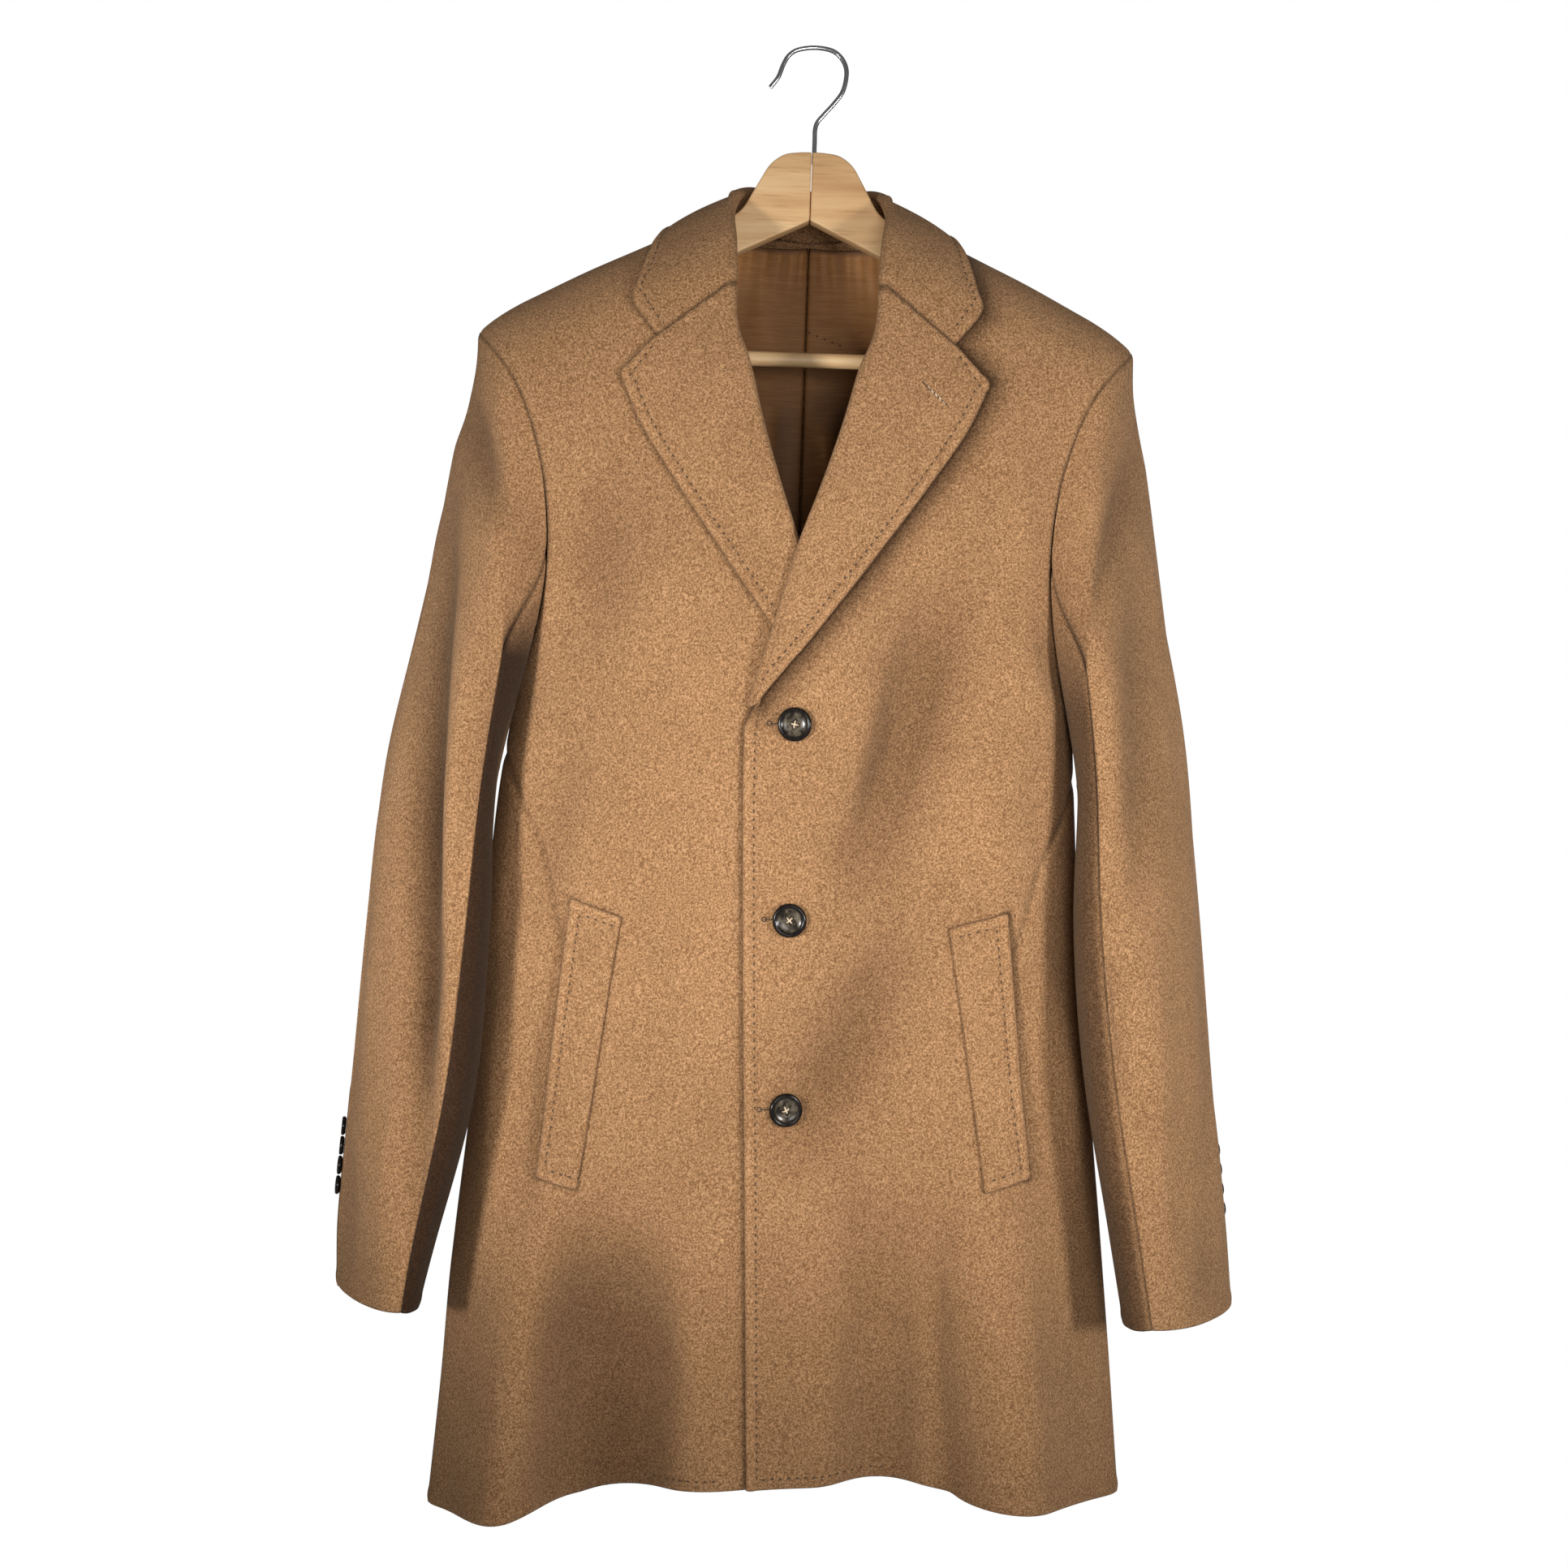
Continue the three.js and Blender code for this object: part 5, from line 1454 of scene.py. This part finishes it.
def button_mesh(name, radius, thickness, hole_radius, hole_spread):
    t = thickness
    profile = [
        (0.001, 0), (radius * 0.5, 0), (radius * 0.78, 0), (radius * 0.94, t * 0.2), (radius, t * 0.48),
        (radius * 0.985, t * 0.76), (radius * 0.93, t * 0.94), (radius * 0.86, t), (radius * 0.79, t * 0.95),
        (radius * 0.72, t * 0.82), (radius * 0.62, t * 0.7), (radius * 0.4, t * 0.62), (0.001, t * 0.6),
    ]
    verts, faces = lathe(profile, 48)
    mesh = bpy.data.meshes.new(name)
    mesh.from_pydata(verts, [], faces)
    bm = bmesh.new()
    bm.from_mesh(mesh)
    bmesh.ops.remove_doubles(bm, verts=bm.verts, dist=0.01)
    bmesh.ops.recalc_face_normals(bm, faces=bm.faces)
    bm.to_mesh(mesh)
    bm.free()
    body_object = link_object(name, mesh)
    cutters = []
    for k in range(4):
        angle = math.pi / 4 + k * math.pi / 2
        place = (hole_spread * math.cos(angle), t / 2, hole_spread * math.sin(angle))
        bpy.ops.mesh.primitive_cylinder_add(
            vertices=14, radius=hole_radius, depth=3 * t, location=place, rotation=(math.pi / 2, 0, 0)
        )
        cutters.append(bpy.context.object)
    bpy.ops.object.select_all(action="DESELECT")
    for cutter in cutters:
        cutter.select_set(True)
    bpy.context.view_layer.objects.active = cutters[0]
    bpy.ops.object.join()
    cutter = cutters[0]
    cut = body_object.modifiers.new("holes", "BOOLEAN")
    cut.object = cutter
    cut.solver = "EXACT"
    evaluated = body_object.evaluated_get(bpy.context.evaluated_depsgraph_get())
    result = bpy.data.meshes.new_from_object(evaluated)
    bpy.data.objects.remove(cutter)
    bpy.data.objects.remove(body_object)
    # The dished middle has its own tone
    from_axis = [math.hypot(vertex.co.x, vertex.co.z) for vertex in result.vertices]
    set_tone(result, 1 - ease(np.array(from_axis), radius * 0.62, radius * 0.76))
    return result


def button_frame(point, normal, stand):
    normal = Vector(normal).normalized()
    turn = Vector((0, 1, 0)).rotation_difference(normal).to_matrix().to_4x4()
    return Matrix.Translation(Vector(point) + normal * stand) @ turn


def place_button(name, node, template, frame_matrix, sides_mm):
    radius, thickness, hole_radius, hole_spread = sides_mm
    mesh = template.copy()
    mesh.transform(frame_matrix)
    mesh.transform(Matrix.Scale(MM, 4))
    mesh.materials.clear()
    mesh.materials.append(materials["horn"])
    for polygon in mesh.polygons:
        polygon.use_smooth = True
    piece = link_object(name, mesh)
    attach(piece, "root")
    register(node)
    # Two crossed threads and four that go down the holes
    threads = StitchSet(f"{name}_thread")
    top = thickness * 0.62
    for angle in (math.pi / 4, -math.pi / 4):
        ends = np.array([(math.cos(angle), 0, math.sin(angle)), (-math.cos(angle), 0, -math.sin(angle))])
        line = np.linspace(ends[0] * hole_spread, ends[1] * hole_spread, 7)
        line[:, 1] = top + hole_radius * 0.55
        line[[0, -1], 1] = top - 0.6
        ups = np.tile([0.0, 1.0, 0.0], (7, 1))
        world = np.array([frame_matrix @ Vector(p) for p in line])
        up_world = np.array([frame_matrix.to_3x3() @ Vector(p) for p in ups])
        threads.add(
            world, up_world,
            length=hole_spread * 0.62, width=hole_radius * 1.1, height=hole_radius * 0.9,
        )
    piece = threads.finish(materials["thread"])


FRONT_BUTTON_STAND = 0.5
CUFF_BUTTON_STAND = 0.1
BUTTON_REACH = 8


def make_buttons():
    sizes = (FRONT_BUTTON_RADIUS, FRONT_BUTTON_THICKNESS, *FRONT_BUTTON_HOLES)
    template = button_mesh("front_button_form", *sizes)
    panel = panels["left", "front"]
    for i, (x, z) in enumerate(FRONT_BUTTONS, 1):
        point, normal = skins["front_left_cloth"].seat(on_panel(panel, x, z), BUTTON_REACH)
        matrix = button_frame(point, normal, FRONT_BUTTON_STAND)
        place_button(f"button_{i}_horn", f"button_{i}", template, matrix, sizes)
    sizes = (CUFF_BUTTON_RADIUS, CUFF_BUTTON_THICKNESS, *CUFF_BUTTON_HOLES)
    template = button_mesh("cuff_button_form", *sizes)
    for side in ("right", "left"):
        sign = SIGN[side]
        angle = BACK_SEAM_ANGLE[side] - CUFF_BUTTON_BEHIND_SEAM
        for i, z in enumerate(CUFF_BUTTON_ZS, 1):
            x, y = sleeve_outline(side, angle, z)
            place = (sign * float(x), float(y), z)
            point, normal = skins[f"sleeve_under_{side}_cloth"].seat(place, CUFF_BUTTON_RADIUS)
            matrix = button_frame(point, normal, CUFF_BUTTON_STAND)
            place_button(f"cuff_button_{side}_{i}_horn", f"cuff_button_{side}_{i}", template, matrix, sizes)


# Buttonholes: the eyelet and part of the bar that show beside each button, and
# a whole one on the lapel, with a dark thread round it and light bars across
EYELET_FROM_RIM = 5.6
EYELET_RADIUS = 1.5
LAPEL_HOLE = [(78.5, -243.5), (95, -257.5)]
LAPEL_HOLE_BARS = (0.34, 0.5, 0.66, 0.82)


def make_buttonholes():
    panel = panels["left", "front"]
    holes = StitchSet("buttonhole_ends")
    turns = np.linspace(0, 2 * math.pi, 9)
    for x, z in FRONT_BUTTONS:
        rim_x = x - FRONT_BUTTON_RADIUS
        ring_x = rim_x - EYELET_FROM_RIM + EYELET_RADIUS * np.cos(turns)
        ring = on_panel(panel, ring_x, z + EYELET_RADIUS * np.sin(turns))
        holes.sew("front_left_cloth", ring, 0.1, length=1.5, width=1.0, height=0.8)
        bar_x = np.linspace(rim_x - EYELET_FROM_RIM + EYELET_RADIUS, rim_x + 1, 4)
        bar = on_panel(panel, bar_x, np.full(4, float(z)))
        holes.sew("front_left_cloth", bar, 0.0, length=1.9, width=1.0, height=0.7)
    holes.finish(materials["dark_thread"])
    start, end = (np.array(place) for place in LAPEL_HOLE)
    lapel_hole = StitchSet("lapel_buttonhole")
    flat = np.linspace(start, end, 14)
    line = on_panel(panel, flat[:, 0], flat[:, 1], ON_LAPEL)
    lapel_hole.sew("lapel_left_cloth", line, 0.05, length=2.2, width=1.3, height=0.7)
    lapel_hole.finish(materials["stitch"])
    bars = StitchSet("lapel_buttonhole_bars")
    for share in LAPEL_HOLE_BARS:
        middle = mix(start, end, share)
        flat = np.linspace(middle + (-1.3, 1.5), middle + (1.3, -1.5), 2)
        ends = on_panel(panel, flat[:, 0], flat[:, 1], ON_LAPEL)
        bars.sew("lapel_left_cloth", ends, 0.5, length=2.6, width=0.8, height=0.6)
    bars.finish(materials["thread"])


# Hanger
HANGER_THICKNESS = 13
HANGER_BLOCK_TOP_Z = -73
HANGER_BLOCK_HALF = 29
HANGER_BLOCK_SHOULDER_Z = -81.5
HANGER_ARM_START_X = 48.5
HANGER_LOW_APEX_Z = -121
HANGER_ARM_SLOPE = 0.475
HANGER_TIP_X = 205
HANGER_LOBE_X = 186
BAR_Z = -217.5
BAR_RADIUS = 5.25
HANGER_UNDER_CLOTH = 2.8
HANGER_JOINT = 0.25
BEVEL = 1.3


def hanger_top_z(x):
    return float(shoulder_z(x)) - CLOTH / math.cos(math.atan(HANGER_ARM_SLOPE)) - HANGER_UNDER_CLOTH


def smooth_corner(before, corner, after, radius, steps=5):
    corner = np.array(corner, float)
    start = corner + unit(np.array(before, float) - corner) * radius
    end = corner + unit(np.array(after, float) - corner) * radius
    out = []
    for i in range(steps + 1):
        t = i / steps
        out.append(tuple((1 - t) ** 2 * start + 2 * t * (1 - t) * corner + t * t * end))
    return out


def hanger_half_outline():
    arm = HANGER_ARM_START_X
    top = [(x, hanger_top_z(x)) for x in (70, 90, 110, 130, 150, 170, 185, 198)]
    outline = [(HANGER_JOINT, HANGER_BLOCK_TOP_Z), (8, HANGER_BLOCK_TOP_Z - 0.3)]
    shoulder_corner = (HANGER_BLOCK_HALF, HANGER_BLOCK_SHOULDER_Z)
    outline += smooth_corner((8, HANGER_BLOCK_TOP_Z - 0.3), (19, -74.5), shoulder_corner, 5)
    outline += smooth_corner((19, -74.5), shoulder_corner, (arm, hanger_top_z(arm)), 6)
    outline += smooth_corner(shoulder_corner, (arm, hanger_top_z(arm)), top[0], 8)
    outline += top
    tip = (HANGER_TIP_X, hanger_top_z(HANGER_TIP_X) - 3)
    low = (HANGER_TIP_X + 0.6, BAR_Z - 5)
    foot = (HANGER_LOBE_X, BAR_Z - 8)
    outline += smooth_corner(top[-1], tip, low, 3)
    outline += smooth_corner(tip, low, foot, 6)
    lobe_top = (HANGER_LOBE_X, HANGER_LOW_APEX_Z - HANGER_ARM_SLOPE * HANGER_LOBE_X)
    outline += smooth_corner(low, foot, lobe_top, 4)
    arm_top = (arm, HANGER_LOW_APEX_Z - HANGER_ARM_SLOPE * arm)
    outline += [lobe_top, arm_top, (HANGER_JOINT, HANGER_LOW_APEX_Z)]
    return outline


def make_hanger():
    for sign, name in ((-1, "right"), (1, "left")):
        outline = [(sign * x, z) for x, z in hanger_half_outline()]
        bm = bmesh.new()
        front = [bm.verts.new((x * MM, -HANGER_THICKNESS / 2 * MM, z * MM)) for x, z in outline]
        face = bm.faces.new(front)
        out = bmesh.ops.extrude_face_region(bm, geom=[face])
        moved = [item for item in out["geom"] if isinstance(item, bmesh.types.BMVert)]
        bmesh.ops.translate(bm, verts=moved, vec=(0, HANGER_THICKNESS * MM, 0))
        bmesh.ops.recalc_face_normals(bm, faces=bm.faces)
        mesh = bpy.data.meshes.new(f"hanger_half_{name}")
        bm.to_mesh(mesh)
        bm.free()
        mesh.materials.append(materials[f"wood_{name}"])
        piece = link_object(f"hanger_half_{name}", mesh)
        bevel = piece.modifiers.new("soft_edges", "BEVEL")
        bevel.width = BEVEL * MM
        bevel.segments = 3
        bevel.angle_limit = math.radians(50)
        bpy.context.view_layer.objects.active = piece
        bpy.ops.object.modifier_apply(modifier=bevel.name)
        # The two broad faces stay flat and the rounded edges are smooth
        for polygon in piece.data.polygons:
            polygon.use_smooth = abs(polygon.normal.y) < 0.99
        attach(piece, "root")
    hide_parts("hanger")
    bar_half = HANGER_LOBE_X + 3
    bar_outline = [(0.001, -bar_half), (BAR_RADIUS, -bar_half), (BAR_RADIUS, bar_half), (0.001, bar_half)]
    verts, faces = lathe(bar_outline, 32)
    verts = [(y, x, z + BAR_Z) for x, y, z in verts]
    bar = add_mesh("trouser_rod", np.array(verts), faces, materials["wood_bar"])
    bar.data.set_sharp_from_angle(angle=math.radians(35))
    register("trouser_bar")


# Hook: the wire, with its end in the block
HOOK_ROUTE = [
    (-30.8, -27.2), (-25.4, -19.7), (-22.3, -11.3), (-18.4, -4.3), (-11.7, 0), (0, 1.7),
    (11.7, 0), (18.4, -5), (21.9, -12), (22.1, -20.2), (19.7, -29.3), (13.8, -37.7),
    (7.1, -45.5), (3.1, -50.6), (1.6, -56), (1.6, -64), (1.6, -80),
]
WIRE_RADIUS = 1.7


def make_hook():
    curve = bpy.data.curves.new("hook_wire", "CURVE")
    curve.dimensions = "3D"
    curve.bevel_depth = WIRE_RADIUS * MM
    curve.bevel_resolution = 5
    curve.use_fill_caps = True
    line = through(np.array([(x, 0.0, z) for x, z in HOOK_ROUTE]), [6] * (len(HOOK_ROUTE) - 1))
    spline = curve.splines.new("POLY")
    spline.points.add(len(line) - 1)
    for point, place in zip(spline.points, line * MM):
        point.co = (*place, 1)
    spline.use_smooth = True
    wire = link_object("hook_wire", curve)
    mesh = bpy.data.meshes.new_from_object(wire.evaluated_get(bpy.context.evaluated_depsgraph_get()))
    bpy.data.objects.remove(wire)
    mesh.materials.clear()
    mesh.materials.append(materials["steel"])
    for polygon in mesh.polygons:
        polygon.use_smooth = True
    piece = link_object("hook_wire", mesh)
    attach(piece, "root")
    register("hook")


# Materials
class Nodes:
    """A short way to write a node tree."""

    def __init__(self, name):
        self.material = bpy.data.materials.new(name)
        self.material.use_nodes = True
        self.tree = self.material.node_tree
        self.shader = self.tree.nodes["Principled BSDF"]
        self.coords = self.tree.nodes.new("ShaderNodeTexCoord")

    def node(self, kind, **settings):
        node = self.tree.nodes.new(kind)
        for key, value in settings.items():
            setattr(node, key, value)
        return node

    def link(self, source, target):
        self.tree.links.new(source, target)

    def noise(self, scale, detail=3.0, roughness=0.55, stretch=(1, 1, 1), turn=(0, 0, 0)):
        mapping = self.node("ShaderNodeMapping")
        mapping.inputs["Scale"].default_value = stretch
        mapping.inputs["Rotation"].default_value = turn
        self.link(self.coords.outputs["Object"], mapping.inputs["Vector"])
        noise = self.node("ShaderNodeTexNoise")
        noise.inputs["Scale"].default_value = scale
        noise.inputs["Detail"].default_value = detail
        noise.inputs["Roughness"].default_value = roughness
        self.link(mapping.outputs["Vector"], noise.inputs["Vector"])
        return noise.outputs["Fac"]

    def ramp(self, source, stops):
        ramp = self.node("ShaderNodeValToRGB")
        elements = ramp.color_ramp.elements
        while len(elements) < len(stops):
            elements.new(0.5)
        for element, (place, colour) in zip(elements, stops):
            element.position = place
            element.color = (*colour, 1)
        self.link(source, ramp.inputs["Fac"])
        return ramp.outputs["Color"]

    def blend(self, factor, a, b, mode="MIX"):
        blend = self.node("ShaderNodeMix", data_type="RGBA", blend_type=mode)
        if isinstance(factor, (int, float)):
            blend.inputs["Factor"].default_value = factor
        else:
            self.link(factor, blend.inputs["Factor"])
        for value, socket in ((a, blend.inputs[6]), (b, blend.inputs[7])):
            if isinstance(value, tuple):
                socket.default_value = (*value, 1)
            else:
                self.link(value, socket)
        return blend.outputs[2]

    def toned(self, colour, stops):
        """The colour, changed by the tone that the points of a piece carry: painted shade below 0 and
        painted highlight above it.
        """
        tone = self.node("ShaderNodeAttribute", attribute_name="tone")
        half = self.node("ShaderNodeMath", operation="MULTIPLY_ADD")
        self.link(tone.outputs["Fac"], half.inputs[0])
        half.inputs[1].default_value = 0.5
        half.inputs[2].default_value = 0.5
        return self.blend(1.0, colour, self.ramp(half.outputs[0], stops), "MULTIPLY")

    def bump(self, sources, distance):
        normal = None
        for source, strength in sources:
            bump = self.node("ShaderNodeBump")
            bump.inputs["Strength"].default_value = strength
            bump.inputs["Distance"].default_value = distance
            self.link(source, bump.inputs["Height"])
            if normal is not None:
                self.link(normal, bump.inputs["Normal"])
            normal = bump.outputs["Normal"]
        self.link(normal, self.shader.inputs["Normal"])

    def set(self, **values):
        for key, value in values.items():
            self.shader.inputs[key.replace("_", " ")].default_value = value

    def colour(self, source):
        self.link(source, self.shader.inputs["Base Color"])


TONE_STOPS = [(0.0, (0.10, 0.075, 0.06)), (0.5, (1.0, 1.0, 1.0)), (1.0, (1.5, 1.5, 1.5))]


def wool_material():
    n = Nodes("camel_wool")
    mottle = n.noise(760, 3, 0.7)
    fibres = n.noise(2100, 2, 0.65, stretch=(1, 1, 0.4))
    cloud = n.noise(13, 3, 0.55)
    dark = (0.21, 0.10, 0.040)
    light = (0.50, 0.285, 0.14)
    base = n.ramp(mottle, [(0.39, dark), (0.5, (0.345, 0.183, 0.081)), (0.61, light)])
    fleck = n.ramp(fibres, [(0.36, (0.66, 0.63, 0.6)), (0.52, (1.0, 1.0, 1.0)), (0.68, (1.25, 1.25, 1.27))])
    shade = n.ramp(cloud, [(0.32, (0.92, 0.91, 0.90)), (0.68, (1.06, 1.06, 1.07))])
    cloth = n.blend(1.0, n.blend(1.0, base, fleck, "MULTIPLY"), shade, "MULTIPLY")
    n.colour(n.toned(cloth, TONE_STOPS))
    n.bump([(mottle, 1.0), (fibres, 0.6)], 0.0014)
    n.set(Roughness=0.95, Sheen_Weight=0.1, Sheen_Roughness=0.5, Sheen_Tint=(1.0, 0.86, 0.66, 1))
    n.set(Specular_IOR_Level=0.12)
    return n.material


def lining_material():
    n = Nodes("lining_satin")
    ribs = n.node("ShaderNodeTexWave", wave_type="BANDS", bands_direction="Z")
    ribs.inputs["Scale"].default_value = 250
    ribs.inputs["Distortion"].default_value = 0.6
    ribs.inputs["Detail"].default_value = 1.0
    n.link(n.coords.outputs["Object"], ribs.inputs["Vector"])
    slub = n.noise(160, 3, 0.6, stretch=(0.25, 1, 3))
    tone = n.ramp(slub, [(0.3, (0.37, 0.165, 0.055)), (0.7, (0.50, 0.24, 0.085))])
    lines = n.ramp(ribs.outputs["Fac"], [(0.0, (0.74, 0.71, 0.68)), (0.6, (1.0, 1.0, 1.0))])
    n.colour(n.toned(n.blend(0.8, tone, lines, "MULTIPLY"), TONE_STOPS))
    n.bump([(ribs.outputs["Fac"], 0.3), (slub, 0.2)], 0.0004)
    n.set(Roughness=0.5, Specular_IOR_Level=0.18)
    return n.material


def thread_material(name, dark, light):
    n = Nodes(name)
    twist = n.noise(2200, 2, 0.5)
    n.colour(n.ramp(twist, [(0.35, dark), (0.65, light)]))
    n.bump([(twist, 0.3)], 0.0003)
    n.set(Roughness=0.75, Sheen_Weight=0.2, Sheen_Roughness=0.4, Specular_IOR_Level=0.25)
    return n.material


def horn_material():
    n = Nodes("dark_horn")
    cloud = n.noise(210, 4, 0.6, stretch=(1, 1, 0.6))
    streak = n.noise(620, 4, 0.6, stretch=(1.6, 1, 0.4))
    stops = [(0.40, (0.012, 0.009, 0.007)), (0.5, (0.06, 0.047, 0.032)), (0.66, (0.12, 0.098, 0.07))]
    middle = n.ramp(cloud, stops)
    rim = n.ramp(streak, [(0.4, (0.003, 0.0025, 0.002)), (0.7, (0.014, 0.01, 0.008))])
    tone = n.node("ShaderNodeAttribute", attribute_name="tone")
    n.colour(n.blend(tone.outputs["Fac"], rim, middle))
    n.set(Roughness=0.2, Specular_IOR_Level=0.22)
    n.bump([(streak, 0.05)], 0.0003)
    return n.material


def wood_material(name, turn):
    n = Nodes(name)
    grain = n.noise(42, 6, 0.62, stretch=(0.14, 1, 1.9), turn=(0, turn, 0))
    pores = n.noise(520, 3, 0.6, stretch=(0.06, 1, 1), turn=(0, turn, 0))
    warm = n.noise(9, 2, 0.5)
    stops = [(0.28, (0.51, 0.285, 0.12)), (0.5, (0.65, 0.405, 0.195)), (0.72, (0.76, 0.53, 0.285))]
    tone = n.ramp(grain, stops)
    dots = n.ramp(pores, [(0.3, (0.72, 0.66, 0.6)), (0.42, (1.0, 1.0, 1.0))])
    shade = n.ramp(warm, [(0.35, (0.93, 0.9, 0.86)), (0.65, (1.03, 1.03, 1.03))])
    n.colour(n.blend(1.0, n.blend(0.7, tone, dots, "MULTIPLY"), shade, "MULTIPLY"))
    n.bump([(grain, 0.06), (pores, 0.12)], 0.0004)
    n.set(Roughness=0.42, Specular_IOR_Level=0.4, Coat_Weight=0.12, Coat_Roughness=0.3)
    return n.material


def steel_material():
    n = Nodes("bright_steel")
    scratch = n.noise(900, 3, 0.6, stretch=(1, 1, 0.3))
    n.colour(n.ramp(scratch, [(0.35, (0.48, 0.485, 0.49)), (0.65, (0.66, 0.665, 0.67))]))
    n.bump([(scratch, 0.05)], 0.0002)
    n.set(Metallic=1.0, Roughness=0.2)
    return n.material


def plain_material(name, low, high):
    n = Nodes(name)
    n.colour(n.ramp(n.noise(3, 2, 0.5), [(0.3, low), (0.7, high)]))
    n.set(Roughness=0.9, Specular_IOR_Level=0.1)
    return n.material


GRAIN_TURN = math.atan(HANGER_ARM_SLOPE)
materials = {
    "wool": wool_material(),
    "lining": lining_material(),
    # Real pick stitches, in a dark thread as painted shade of the dimples they pull into the cloth
    "stitch": thread_material("stitch_thread", (0.06, 0.03, 0.012), (0.11, 0.056, 0.024)),
    "dark_thread": thread_material("buttonhole_thread", (0.03, 0.018, 0.01), (0.07, 0.042, 0.022)),
    "thread": thread_material("button_thread", (0.42, 0.31, 0.2), (0.62, 0.5, 0.36)),
    "seam": thread_material("seam_shadow", (0.13, 0.068, 0.028), (0.2, 0.108, 0.047)),
    "horn": horn_material(),
    "wood_right": wood_material("hanger_wood_right", GRAIN_TURN),
    "wood_left": wood_material("hanger_wood_left", -GRAIN_TURN),
    "wood_bar": wood_material("bar_wood", 0.0),
    "steel": steel_material(),
    "floor": plain_material("pale_floor", (0.86, 0.86, 0.86), (0.9, 0.9, 0.9)),
}


# Pieces
for one_panel in panels.values():
    make_panel(one_panel)
for one_side in ("right", "left"):
    for one_part in ("top", "under"):
        make_sleeve(one_side, one_part)
    make_lapel(one_side)
    make_welt(one_side)
    make_lining(one_side)
    make_ribbon(f"dart_seam_shade_{one_side}", panels[one_side, "front"], DART[one_side], 0.7,
                materials["seam"])
collar_grid = make_collar()
make_stitches()
make_collar_stitches(collar_grid)
make_lining_stitches()
make_buttons()
make_buttonholes()
make_hanger()
make_hook()


# Floor and light. The floor ends in front of the foot of the picture, which
# is plain white.
FLOOR_Z = -1400
FLOOR_HALF_WIDTH = 1500
FLOOR_FRONT_Y = -1700
FLOOR_BACK_Y = 820
AMBIENT = 0.15
# The sky behind the coat is white within this angle of the line of sight
WHITE_WITHIN = math.cos(math.radians(28.5))
WHITE_UNTIL = math.cos(math.radians(34))


def make_floor():
    xs = (-FLOOR_HALF_WIDTH, FLOOR_HALF_WIDTH)
    near, far = FLOOR_FRONT_Y, FLOOR_BACK_Y
    corners = [(xs[0], near), (xs[1], near), (xs[1], far), (xs[0], far)]
    mesh = bpy.data.meshes.new("floor")
    mesh.from_pydata([(x * MM, y * MM, FLOOR_Z * MM) for x, y in corners], [], [(0, 1, 2, 3)])
    mesh.materials.append(materials["floor"])
    floor = link_object("floor", mesh)


def make_light(name, place, target, size, power, cone=None):
    """A soft light: a square one, or a round one that fades towards the edge of a cone."""
    data = bpy.data.lights.new(name, "SPOT" if cone else "AREA")
    if cone:
        data.spot_size = math.radians(cone)
        data.spot_blend = 1.0
        data.shadow_soft_size = size / 2 * MM
    else:
        data.shape = "SQUARE"
        data.size = size * MM
    data.energy = power
    light = link_object(name, data)
    light.location = Vector(place) * MM
    aim = Vector(target) - Vector(place)
    light.rotation_euler = aim.to_track_quat("-Z", "Y").to_euler()


def make_world():
    world = bpy.data.worlds.new("studio")
    world.use_nodes = True
    tree = world.node_tree
    coords = tree.nodes.new("ShaderNodeTexCoord")
    split = tree.nodes.new("ShaderNodeSeparateXYZ")
    ramp = tree.nodes.new("ShaderNodeValToRGB")
    dim, white = ramp.color_ramp.elements
    dim.position = WHITE_UNTIL
    dim.color = (AMBIENT, AMBIENT, AMBIENT, 1)
    white.position = WHITE_WITHIN
    white.color = (1, 1, 1, 1)
    tree.links.new(coords.outputs["Generated"], split.inputs["Vector"])
    tree.links.new(split.outputs["Y"], ramp.inputs["Fac"])
    background = tree.nodes["Background"]
    tree.links.new(ramp.outputs["Color"], background.inputs["Color"])
    background.inputs["Strength"].default_value = 1.0
    bpy.context.scene.world = world
    bpy.context.scene.view_settings.view_transform = "Standard"


make_floor()
make_world()
make_light("key", (-980, -1250, -600), (0, 0, -530), 240, 114, 40)
make_light("far_side", (1180, -1280, -500), (90, 0, -560), 320, 98, 42)
make_light("fill", (300, -1900, -420), (0, 0, -520), 600, 12)
make_light("back", (400, 1700, -200), (0, 0, -500), 1500, 14)
